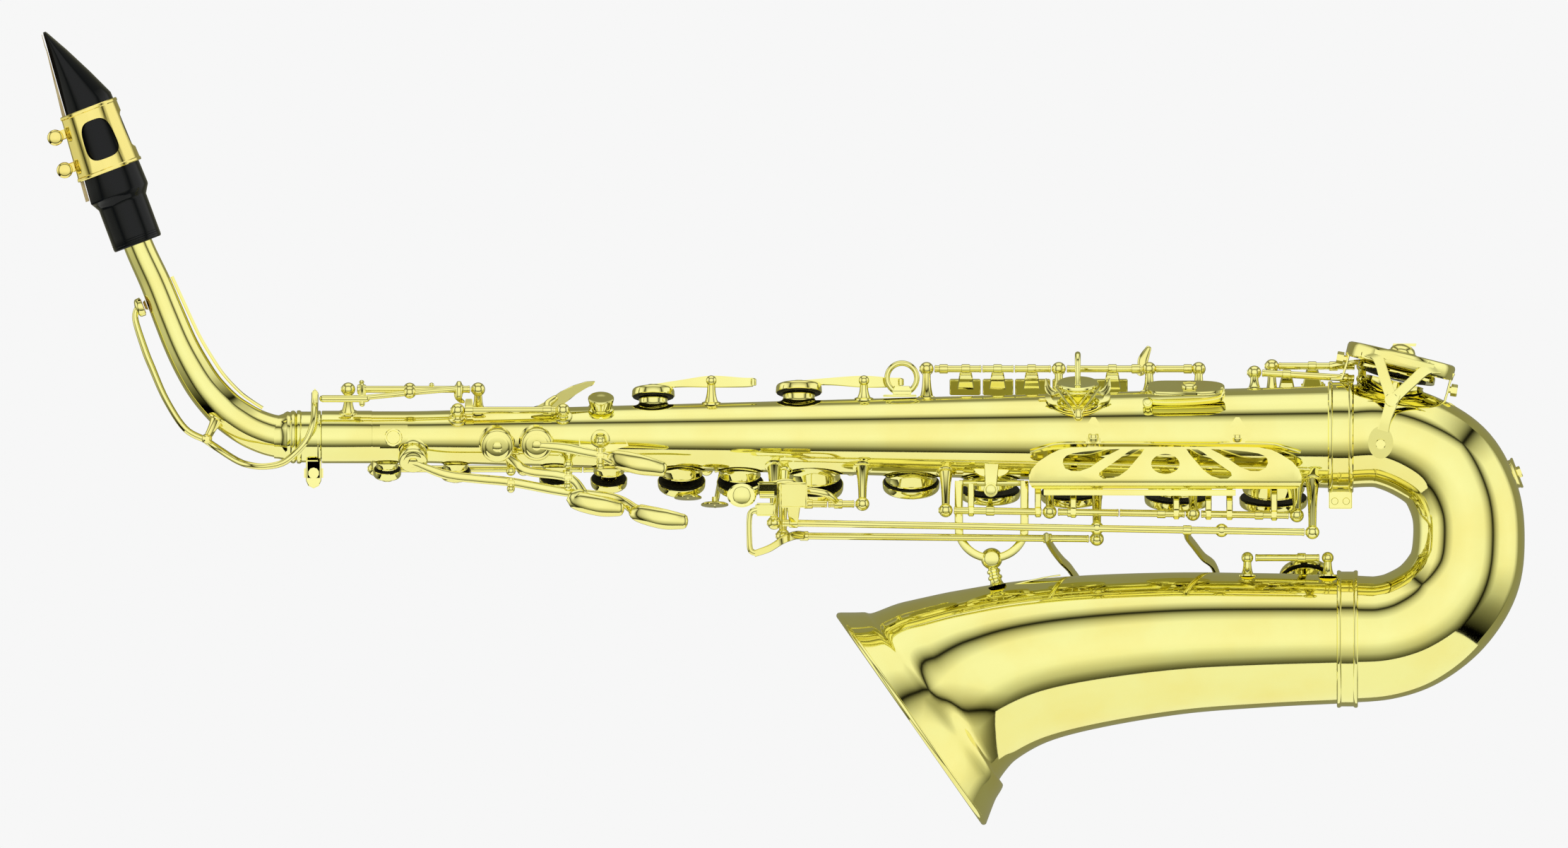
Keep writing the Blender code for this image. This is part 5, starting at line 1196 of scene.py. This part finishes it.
def bell_keys():
    bb = big_cup(LOW_BB_RIM, 20.6, 1) + [swept([on_line(BB_LINE, 68.5), *BELL_ARMS["low_bb"]],
        [2.2, 2.2, 2.2, 2.2, 2.2, 2.2, 2.2], 24, 0.7, X), strap([on_line(BB_LINE, -46), (-49, -24, -45.4),
        (-55, -34, -46.4), (-62, -36.6, -50.6), (-69.2, -36.8, -53.2)], [3.4, 3.8, 3.8, 3.6, 3.2], 2.2,
        Z), swept([(-68.6, -36.8, -53), (-71.2, -36.8, -51.6), (-71.8, -36.8, -46), (-71.8, -36.8, -37),
        (-70.6, -36.8, -33.4), (-66, -36.8, -32.2)], [1.4, 1.4, 1.3, 1.3, 1.4, 1.6], 20, 0.8, Y),
        rounded_touch((-64.4, -36.9, -32.4), (9.4, 2.7, 6.2))]
    line_key("low_bb_key", BB_LINE, (-52.2, 88), (-46, 68.5), bb, [pad(LOW_BB_RIM, Y, 20.6)], BELL_OPEN)
    b = big_cup(LOW_B_RIM, 19.6, 0.5) + [swept([on_line(LONG_LINE, 134.2), *BELL_ARMS["low_b"]],
        [2.2, 2.2, 2.2, 2.2, 2.2, 2.2, 2.2], 24, 0.7, X), strap([on_line(LONG_LINE, -51),
        (-51, -31.5, -36), (-51, -34.5, -30)], [4, 5.2, 7], 2.2, X), rounded_touch((-51, -35, -26.6),
        (13, 2.6, 12))]
    for x in (91.7, 150.4):
        b.append(ball(on_line(LONG_LINE, x) + Vector((0, 1.4, 0)), 3.2))
    line_key("low_b_key", LONG_LINE, (-56.4, 189.4), (-51, 134.2), b, [pad(LOW_B_RIM, Y, 19.6)],
        BELL_OPEN)
    top = LOW_CS_RIM + LOW_CS_OUT * (GAP + 5.2)
    start = on_line(CS_LINE, 188)
    made = cup(LOW_CS_RIM, LOW_CS_OUT, 12.6) + [strap([start, start.lerp(top, 0.5) + LOW_CS_OUT * 2.5,
        top, top + (top - start).normalized() * 5], [4.6, 3.8, 3.2, 2.8], 2, X),
        turned(top - LOW_CS_OUT * 0.4, LOW_CS_OUT, [(0, 3.4), (1, 3.4), (1.4, 3), (1.5, 0)], 28)]
    line_key("low_c_sharp_key", CS_LINE, (166.2, 196.4), (188,), made,
        [pad(LOW_CS_RIM, LOW_CS_OUT, 12.6)])


def table_keys():
    """The left little finger's G sharp and low C sharp touches."""
    disc = Vector((-75.4, -33, -27.5))
    g_sharp = [swept([on_line(PINKY_LINE, -44), (-52, -24.8, -21.5), (-64, -27.8, -23.5),
        (-70.4, -31, -25.6), disc], [1.7, 1.7, 1.7, 1.8, 2.2], 20, 0.7, Y)]
    oval = [disc + Vector((6.9 * math.cos(a), 0, 5.6 * math.sin(a))) for a in turns(48)]
    g_sharp.append(plate(oval, -0.4, 2.8, -Y, 0.7))
    g_sharp.append(turned(disc - Y * 2, -Y, [(0, 4.2), (0.4, 4.3), (0.7, 3.9), (0.7, 0)], 40))
    line_key("g_sharp_touch", PINKY_LINE, (-47, -35.2), (-44,), g_sharp)
    c_sharp = [swept([on_line(PINKY_LINE, -30), (-36, -29.4, -26.6), (-50, -28.8, -24.6),
        (-57, -30.4, -24.4), (-61, -34.4, -24.2)], [1.6, 1.6, 1.6, 1.7, 2], 20, 0.7, Y),
        block((-63, -36, -24.2), (9.8, 2.4, 6.6), Matrix.Rotation(math.radians(22), 4, "X"), 0.7),
        rod((-67, -37.2, -27.6), (-60, -37.2, -27.6), 1.25, 20)]
    line_key("low_c_sharp_touch", PINKY_LINE, (-34.8, -22.4), (-30,), c_sharp)


def low_c_keys():
    top = LOW_C_RIM + LOW_C_OUT * (GAP + 5.2)
    start = on_line(LOW_C_LINE, 203)
    made = cup(LOW_C_RIM, LOW_C_OUT, 18.6) + [strap([start, (210, 17, 34.4), (217, 14.6, 34.9),
        (225, 9.5, 35.2), top], [4.4, 3.6, 3.4, 3.2, 3], 2.2, (0.6, 0.8, 0)),
        strap([on_line(LOW_C_LINE, 193), (193, 28, 31), (193, 33, 25)], [4, 6, 9], 2.2, X),
        rounded_touch((193.5, 33.6, 20), (11.4, 2.8, 13.4))]
    made.append(hoop(LOW_C_RIM + LOW_C_OUT * (GAP + 0.8), LOW_C_OUT,
        [(0, 14.2), (0, 18.4), (0.4, 18.4), (0.4, 14.2)], 56))
    line_key("low_c_key", LOW_C_LINE, (177.2, 213), (203, 193), made, [pad(LOW_C_RIM, LOW_C_OUT, 15)],
        LOW_C_OPEN)
    path = [on_line(LOW_EB_LINE, 208), (209.5, 19, 25.6), (214, 29, 15), (226, 35.4, 2), (246, 38, -14),
        LOW_EB_RIM + LOW_EB_OUT * (GAP + 5)]
    made = cup(LOW_EB_RIM, LOW_EB_OUT, 12.6) + [swept(path, [2.4, 2.3, 2.2, 2.1, 1.9, 1.7], 24, 0.7, X),
        strap([on_line(LOW_EB_LINE, 181), (181, 18, 26), (181, 27.6, 19)], [4, 6, 9], 2.2, X),
        rounded_touch((180.5, 28.2, 14.6), (11.4, 2.8, 12.4))]
    line_key("low_eb_key", LOW_EB_LINE, (169.4, 212.8), (208, 181), made,
        [pad(LOW_EB_RIM, LOW_EB_OUT, 12.6)])


def octave_mechanism():
    fin = [(-175, 13.6), (-171, 14.4), (-165.6, 17.6), (-160.6, 21.2), (-155, 24), (-148.6, 26),
        (-144.2, 26.2), (-145.4, 24.2), (-149.4, 22.8), (-153.6, 20.2), (-156.4, 17.4), (-160.4, 14.6),
        (-165, 12.2), (-170, 11.2)]
    front = bmesh.new()
    low = [front.verts.new((x, -12 + (z - 12) * 0.62, z)) for x, z in fin]
    high = [front.verts.new((x, -9.8 + (z - 12) * 0.62, z + 0.2)) for x, z in fin]
    front.faces.new(low)
    front.faces.new(list(reversed(high)))
    for i in range(len(fin)):
        j = (i + 1) % len(fin)
        front.faces.new([low[j], low[i], high[i], high[j]])
    bmesh.ops.bevel(front, geom=front.edges[:], offset=0.35, segments=2, affect="EDGES")
    thumb = [front, strap([(-203.7, -13.5, 12.6), (-203.7, -12.6, 15), (-203.7, -11.5, 17.6)],
        [3.2, 3.8, 3.2], 1.8, X), swept([(-167, -13, 12.8), (-166.6, -10.8, 15.6), (-163, -8.4, 18.4)],
        [1.8, 1.8, 1.4], 20, 0.8, Y)]
    line_key("thumb_octave_key", THUMB_LINE, (-205.4, -162.9), (-203.7, -167), thumb)
    pin = [swept([(-272.5, -12.2, 18), (-266, -12.2, 18), (-256, -12.2, 18), (-252, -12.2, 18)], 1.7, 24),
        strap([(-254, -12.4, 17.4), (-254, -10.4, 20.4), (-254, -7.5, 22.4)], [3.6, 3.4, 3], 2.2, X),
        strap([(-209, -7.5, 22.4), (-209, -9, 18.8), (-207, -6.8, 16.6)], [3.4, 3, 2.6], 1.9, X),
        turned((-254.2, -7.5, 24), Z, [(0, 1.5), (0.5, 1.6), (1, 0.9), (1.4, 1.1), (2, 1.2), (2.6, 0.8),
        (2.8, 0)], 20), ball((-231.6, -7.5, 22.6), 3), ball((-231.6, -11.2, 21), 3),
        ball((-221.3, -7.5, 24.4), 1.2), swept([(-252, -12.2, 18.6), (-240, -11.8, 19.8),
        (-224, -11.2, 21.4), (-208.6, -10.6, 22.6)], 1.25, 20), swept([(-254, -12.4, 15.6),
        (-254, -11.6, 20), (-254, -9.4, 24.2)], [1.4, 1.1, 1.1], 20, 1, X),
        swept([(-208.4, -10.6, 19.2), (-208.4, -10.4, 22.6), (-208.4, -9, 25)], [1.6, 1.8, 1.4], 20, 1,
        X)]
    line_key("body_octave_key", TOP_LINE, (-256.4, -203.2), (-254.2, -208.4), pin)


# ---------------------------------------------------------------- neck and mouthpiece

NECK_PATH = ((-292, 0, 10), (-298, 1.2, 9.8), (-305.4, 4.1, 9.6), (-312, 8, 9.4), (-319, 13.4, 9.1),
    (-327.3, 22.6, 8.7), (-333.6, 32.4, 8.4), (-339.3, 43.4, 8), (-345, 57, 7.7), (-351.1, 72.2, 7.3),
    (-358.7, 88.9, 6.95), (-366.2, 108.6, 6.8), )
VENT_CENTRE = Vector((-348.2, 0, 65))
VENT_OUT = Vector((-0.93, 0, -0.37)).normalized()
LEAN = math.radians(20.75)
UP = Vector((-math.sin(LEAN), 0, math.cos(LEAN)))
ACROSS = Vector((math.cos(LEAN), 0, math.sin(LEAN)))
SHANK = Vector((-359.4, 0, 90.8))
MOUTH = ((0, -11.8, 11.8, 11.8), (21, -11.7, 12, 11.9), (25.2, -14.1, 14.6, 14.2),
    (68, -10.3, 13.4, 12.8), (71.4, -10, 13.3, 12.6), (84, -8.9, 7.6, 11), (97, -7.7, 1.2, 9.6),
    (108.8, -6.7, -5.2, 8.4), )
LIG_LOW = 36.8
LIG_HIGH = 68.4
SCREWS = ((60.5, -18.7), (44.6, -20))
NECK_PIVOT = Vector((-327, 0, -0.8))


def mouth_point(along, off, y=0):
    """A point on the mouthpiece: along it, across it towards the bell, and towards y."""
    return SHANK + UP * along + ACROSS * off + Y * y


def mouth_edges(along):
    """The mouthpiece's reed side, back and half width at a place along it."""
    for low, high in zip(MOUTH, MOUTH[1:]):
        if along <= high[0]:
            t = (along - low[0]) / (high[0] - low[0])
            return [low[k] + t * (high[k] - low[k]) for k in (1, 2, 3)]
    return list(MOUTH[-1][1:])


def mouth_ring(along, grow=0, reed_grow=0, sides=72):
    """An oval section whose reed side is cut flat."""
    left, right, half = mouth_edges(along)
    flat = 0.12 if along > 24 else 0
    reach = (right - left) / (2 - flat)
    points = []
    for i in range(sides):
        angle = 2 * math.pi * (i + 0.5) / sides
        off = right - reach + (reach + grow) * math.cos(angle)
        limit = left - max(grow, reed_grow)
        points.append(mouth_point(along, max(limit, off - reed_grow * (math.cos(angle) < -0.3)),
            (half + grow) * math.sin(angle)))
    return points


def mouthpiece_group():
    alongs = [0, 0.3, 0.8, 5, 12, 20.2, 21, 21.9, 22.8, 23.8, 24.8, 25.2, 25.7, 32, 40, 50, 60, 67.4, 68,
        68.8, 71.4, 75, 79, 84, 90, 97, 102, 106, 108, 108.8]
    rings = []
    for along in alongs:
        shrink = {0: -0.6, 0.3: -0.2, 25.2: -0.1, 108.8: -0.15}.get(along, 0)
        rings.append(mouth_ring(along, shrink))
    bore = turned(mouth_point(-2, 0), UP, [(0, 8.3), (30, 8), (31, 6), (66, 5)], 40)
    window = plate([mouth_point(58, -2, y) for y in (-5.6, 5.6)] + [mouth_point(105, -5.6, y)
        for y in (4.2, -4.2)], 0, 16, -ACROSS, 0.01)
    add("mouthpiece_body", [skin(rings)], "mouthpiece", ["mouthpiece"], [bore, window], sharp=32,
        mat=EBONITE)
    grooves = []
    for along in (1.6, 2.6, 3.6):
        grooves.append(hoop(mouth_point(along, 0), UP, [(-0.22, 11.7), (0, 11.98), (0.22, 11.7)], 72))
    add("mouthpiece_turned_lines", grooves, "mouthpiece", ["mouthpiece"], mat=EBONITE)
    slices = []
    for i in range(31):
        along = 27 + 81 * i / 30
        t = max(0, (along - 66) / 42)
        thick = 1.5 * (1 - t) ** 1.2 + 0.28
        half = 6.4 + 1.6 * (along - 27) / 81
        left = mouth_edges(along)[0] - GAP - (0.3 if along > 100 else 0)
        ring = []
        for j in range(13):
            a = math.pi * j / 12
            ring.append(mouth_point(along, left - thick * min(1, 0.55 + 0.55 * math.sin(a)),
                half * math.cos(a)))
        slices.append([mouth_point(along, left, half)] + ring + [mouth_point(along, left, -half)])
    add("reed_blade", [skin(slices)], "mouthpiece", ["reed"], sharp=30, mat=CANE)


def ligature_group():
    band_alongs = (LIG_LOW, LIG_LOW + 0.4, LIG_LOW + 1.4, LIG_LOW + 1.8, LIG_HIGH - 1.8, LIG_HIGH - 1.4,
        LIG_HIGH - 0.4, LIG_HIGH)
    grow = (1.15, 1.5, 1.5, 1.1, 1.1, 1.5, 1.5, 1.15)
    outer = skin([mouth_ring(s, g, g + 1.6) for s, g in zip(band_alongs, grow)])
    inner = skin([mouth_ring(s, 0.5, 2.1) for s in (LIG_LOW - 2, LIG_HIGH + 2)])
    middle = 0.5 * (LIG_LOW + LIG_HIGH)
    windows = []
    for side in (-1, 1):
        opening = []
        for a in turns(40):
            up = 9.6 * signed_power(math.sin(a), 0.6)
            wide = (7.6 - up * 0.08) * signed_power(math.cos(a), 0.6)
            opening.append(mouth_point(middle + up, 0.4 + wide, side * 6))
        windows.append(plate(opening, 0, 14, Y * side, 0.01))
    back = [mouth_point(middle + 9 * signed_power(math.sin(a), 0.6), 5,
        6.8 * signed_power(math.cos(a), 0.6)) for a in turns(40)]
    windows.append(plate(back, 0, 16, ACROSS, 0.01))
    add("ligature_band", [outer], "mouthpiece", ["ligature"], [inner] + windows, sharp=30, mat=TRIM)
    ears = []
    for along, off in SCREWS:
        for side in (-1, 1):
            ears.append(turned(mouth_point(along, off, side * 2.6), Y * side,
                [(0, 2.7), (0.3, 3), (2.9, 3), (3.2, 2.7)], 28))
            ears.append(strap([mouth_point(along, -12.4, side * 4.2), mouth_point(along, off + 1,
                side * 4.2)], 4.6, 2, UP, 3))
    add("ligature_ears", ears, "mouthpiece", ["ligature"], mat=TRIM)
    for name, (along, off) in zip(("ligature_screw_upper", "ligature_screw_lower"), SCREWS):
        shape = [(0, 0), (0, 2.2), (0.3, 3), (0.8, 3.6), (1.4, 3.8), (2, 3.45), (2.5, 3.8), (3.1, 3.45),
            (3.6, 3.8), (4.4, 3.6), (4.9, 2.8), (5, 1.3), (19.3, 1.3), (19.7, 0.9), (19.7, 0)]
        add(name + "_brass", [turned(mouth_point(along, off, -12.5), Y, shape, 36)], name, [name],
            mat=TRIM)


def neck_group():
    rows = curve_points(NECK_PATH, 8)
    outer = pipe_rings(rows, 72)
    inner = pipe_rings([(x, z, r - 0.9) for x, z, r in rows], 72)
    add("neck_tube_skin", [shell(outer, inner)], "neck", ["neck_tube"])
    collar = [(0, TENON_R - 1), (0, TENON_R - 0.2), (0.3, TENON_R), (22.6, TENON_R), (23.1, 11.6),
        (23.5, 12.2), (24.4, 12.5), (25.3, 12.2), (25.8, 11.7), (26.4, 11.9), (27.2, 12.1), (28, 11.7),
        (29.2, 10.9), (31, 10.3), (33.4, 10.05), (33.4, 9.2), (24, TENON_R - 1.2)]
    add("neck_collar", [hoop((-262, 0, 0), -X, collar, 72)], "neck", ["neck_tube"])
    pivot = post(Vector((-327, -5.4, -0.8)), 0, 2.4, Vector((-322, -5.2, 9))) + screw_head(Vector((-327,
        -7.4, -0.8)), -Y, 1.3, 0.6)
    add("neck_pivot_post", pivot, "neck", ["neck_tube"])
    tip = rows[-1]
    ahead = (Vector((rows[-1][0], 0, rows[-1][1])) - Vector((rows[-2][0], 0, rows[-2][1]))).normalized()
    add("neck_tip_ring", [hoop(Vector((tip[0], 0, tip[1])) - ahead * 1.2, ahead,
        [(0, 6.2), (0, 6.9), (0.4, 7.15), (1, 7.15), (1.3, 6.8), (1.3, 6.1)], 56)], "neck", ["neck_tube"])
    points = []
    path = NECK_PATH[2:10]
    for i, (x, z, r) in enumerate(path):
        ahead = Vector((NECK_PATH[i + 3][0] - NECK_PATH[i + 1][0], 0,
            NECK_PATH[i + 3][1] - NECK_PATH[i + 1][1]))
        inward = Vector((ahead.z, 0, -ahead.x)).normalized()
        points.append(Vector((x, 0, z)) + inward * (r + GAP + 0.75 + 0.9 * math.sin(math.pi * i / 7)))
    add("neck_brace_strap", [strap(points, [2.4, 3.2, 4.2, 4.4, 4.4, 4.2, 3.2, 2.4], 1.5, Y, 8)], "neck",
        ["neck_brace"])
    base = VENT_CENTRE + VENT_OUT * 7.7
    add("neck_pip", [hoop(base, VENT_OUT, [(0, 0.9), (0, 2.6), (0.4, 2.3), (0.9, 2), (1.3, 1.9),
        (1.3, 0.9)], 32)], "neck", ["neck_octave_pip"])
    cork_shape = [(0, 7.35), (0, 7.5), (0.5, 7.8), (1.2, 7.9), (15, 7.85), (15.7, 7.6), (16, 7.35)]
    add("neck_cork_sleeve", [hoop(mouth_point(3, 0), UP, cork_shape, 56)], "neck", ["neck_cork"],
        mat=CORK)
    lever = [(-360, 0, 60.6), (-360.6, 0, 55), (-356.2, 0, 41), (-352.9, 0, 32.7), (-346.3, 0, 17.7),
        (-337.3, 0, 4), (-328, 0, -1.2)]
    side_path = [(-328, 0.6, -1.2), (-321.5, 2, -5.6), (-313, 8.5, -11), (-307, 14, -13.2),
        (-299.7, 17, -13.9), (-291.4, 18.6, -12.2), (-284.8, 18.6, -7.2), (-279.8, 18.6, -1.2),
        (-276.8, 17, 7.1), (-276.2, 9, 17.8), (-276.2, 0, 20.2)]
    made = [swept(lever, [1.2, 1.5, 1.7, 1.7, 1.6, 1.6, 1.6], 24)]
    for side in (1, -1):
        made.append(swept([(x + 0.2 * side, y * side, z) for x, y, z in side_path], 1.5, 24))
    made.append(rounded_touch((-276.2, -10, 19), (2.4, 9.4, 7.2), 0, 0.8))
    made.append(turned(NECK_PIVOT - Y * 2.6, Y, [(0, 2.2), (0.2, 2.5), (1, 2.5), (1.2, 2.2), (4.4, 2.2),
        (4.6, 2.5), (5.4, 2.5), (5.6, 2.2)], 28))
    made.append(turned(VENT_CENTRE + VENT_OUT * 9.6, VENT_OUT, [(0, 4.1), (0.1, 4.4), (0.5, 4.5),
        (2.2, 4.4), (2.8, 4.1), (3.3, 3.2), (3.7, 1.4), (3.8, 0)], 40, caps=False))
    add("neck_octave_key_brass", made, "neck_octave_key", ["neck_octave_key"])
    add("neck_octave_key_pad", [turned(VENT_CENTRE + VENT_OUT * 9.3, VENT_OUT,
        [(0, 0), (0, 3.4), (0.3, 3.9), (1.6, 3.9), (1.6, 0)], 40)], "neck_octave_key",
        ["neck_octave_key"], mat=CORK)


# ---------------------------------------------------------------- light, floor and camera

ROOM_WIDE = 1.25         # half the room's width, its depth being 1
ROOM_TOP = 1.43
ROOM_FLOOR = -1.036
WALL_OLIVE = (0.26, 0.255, 0.17, 1)
ROOM_LIGHT = 1.02
PALE_BACKDROP = 0.93
FLOOR_GLOW = 0.42
VIEW_WIDTH = 0.7377      # metres across the picture
VIEW_FROM = (-0.0555, -2, -0.0216)


def studio():
    """A box-shaped studio: bright front, ceiling and floor, an olive back, dark seams between them."""
    world = bpy.data.worlds.new("studio")
    bpy.context.scene.world = world
    world.use_nodes = True
    tree = world.node_tree
    tree.nodes.clear()
    place = tree.nodes.new("ShaderNodeTexCoord")
    parts = tree.nodes.new("ShaderNodeSeparateXYZ")
    link(tree, place.outputs["Generated"], parts.inputs["Vector"])

    def maths(kind, a, b=None):
        node = tree.nodes.new("ShaderNodeMath")
        node.operation = kind
        for socket, value in zip(node.inputs, (a, b)):
            if value is None:
                continue
            if isinstance(value, float):
                socket.default_value = value
            else:
                link(tree, value, socket)
        return node.outputs["Value"]

    x, y, z = (parts.outputs[k] for k in ("X", "Y", "Z"))
    qx = maths("DIVIDE", maths("ABSOLUTE", x), ROOM_WIDE)
    qy = maths("ABSOLUTE", y)
    qz = maths("MAXIMUM", maths("DIVIDE", z, ROOM_TOP), maths("DIVIDE", z, ROOM_FLOOR))
    largest = maths("MAXIMUM", qx, maths("MAXIMUM", qy, qz))
    smallest = maths("MINIMUM", qx, maths("MINIMUM", qy, qz))
    total = maths("ADD", qx, maths("ADD", qy, qz))
    second = maths("SUBTRACT", maths("SUBTRACT", total, largest), smallest)
    edge = maths("DIVIDE", second, largest)
    walls = ramp(tree, edge, ((0, (1, 1, 0.98)), (0.5, (0.95, 0.95, 0.90)), (0.80, (0.42, 0.42, 0.34)),
        (0.94, (0.10, 0.10, 0.07)), (0.985, (0.01, 0.01, 0.007))))
    side = maths("MAXIMUM", qx, qy)
    drop = maths("DIVIDE", maths("DIVIDE", z, ROOM_FLOOR), side)
    shade = ramp(tree, drop, ((0, (1, 1, 1)), (0.14, (0.96, 0.96, 0.92)), (0.36, (0.68, 0.68, 0.60)),
        (0.66, (0.36, 0.36, 0.29)), (0.93, (0.17, 0.17, 0.13)), (0.99, (0.01, 0.01, 0.01))))
    front = tree.nodes.new("ShaderNodeMix")
    front.data_type = "RGBA"
    front.blend_type = "MULTIPLY"
    front.inputs["Factor"].default_value = 1
    link(tree, walls.outputs["Color"], front.inputs["A"])
    link(tree, shade.outputs["Color"], front.inputs["B"])
    behind = tree.nodes.new("ShaderNodeMix")
    behind.data_type = "RGBA"
    back = maths("GREATER_THAN", y, maths("MULTIPLY", maths("MAXIMUM", qx, qz), 0.85))
    link(tree, back, behind.inputs["Factor"])
    link(tree, front.outputs["Result"], behind.inputs["A"])
    behind.inputs["B"].default_value = WALL_OLIVE
    light = tree.nodes.new("ShaderNodeBackground")
    light.inputs["Strength"].default_value = ROOM_LIGHT
    link(tree, behind.outputs["Result"], light.inputs["Color"])
    pale = tree.nodes.new("ShaderNodeBackground")
    pale.inputs["Color"].default_value = (1, 1, 1, 1)
    pale.inputs["Strength"].default_value = PALE_BACKDROP
    ray = tree.nodes.new("ShaderNodeLightPath")
    choose = tree.nodes.new("ShaderNodeMixShader")
    link(tree, ray.outputs["Is Camera Ray"], choose.inputs["Fac"])
    link(tree, light.outputs["Background"], choose.inputs[1])
    link(tree, pale.outputs["Background"], choose.inputs[2])
    out = tree.nodes.new("ShaderNodeOutputWorld")
    link(tree, choose.outputs["Shader"], out.inputs["Surface"])


def floor():
    mesh = bmesh.new()
    bmesh.ops.create_grid(mesh, x_segments=8, y_segments=8, size=1)
    bmesh.ops.scale(mesh, vec=(ROOM_WIDE, 1, 1), verts=mesh.verts)
    bmesh.ops.translate(mesh, vec=(0, 0, ROOM_FLOOR), verts=mesh.verts)
    data = bpy.data.meshes.new("studio_floor")
    mesh.to_mesh(data)
    mesh.free()
    obj = bpy.data.objects.new("studio_floor", data)
    bpy.context.scene.collection.objects.link(obj)
    made, tree, shader = new_material("floor_paint", (0.86, 0.86, 0.85), 0.6, 0)
    grain = noise_node(tree, 30)
    tinted(tree, shader, grain, ((0.3, (0.84, 0.84, 0.83)), (0.7, (0.87, 0.87, 0.86))))
    shader.inputs["Emission Color"].default_value = (1, 1, 0.98, 1)
    shader.inputs["Emission Strength"].default_value = FLOOR_GLOW
    data.materials.append(made)


def camera():
    data = bpy.data.cameras.new("camera")
    data.type = "ORTHO"
    data.ortho_scale = VIEW_WIDTH
    data.clip_end = 20
    obj = bpy.data.objects.new("camera", data)
    obj.location = VIEW_FROM
    obj.rotation_euler = (math.radians(90), 0, 0)
    bpy.context.scene.collection.objects.link(obj)
    bpy.context.scene.camera = obj
    bpy.context.scene.view_settings.view_transform = "Standard"


def dress_frame():
    """The carried-over parts of the frame take the finished materials."""
    for name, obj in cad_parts.items():
        made = {"mouthpiece": EBONITE, "reed": CANE, "neck_cork": CORK}.get(name, BRASS)
        for item in obj.material_slots:
            item.material = made


def main():
    dress_frame()
    body_tube()
    bow()
    bell()
    body_rings()
    tube_trim()
    bell_brace()
    strap_ring()
    thumb_rest()
    thumb_hook()
    thumb_plate()
    stack_guard()
    low_c_guard()
    far_guards()
    stacks()
    palm_keys()
    side_levers()
    side_touches()
    bell_keys()
    table_keys()
    low_c_keys()
    octave_mechanism()
    mouthpiece_group()
    ligature_group()
    neck_group()
    studio()
    floor()
    camera()


main()
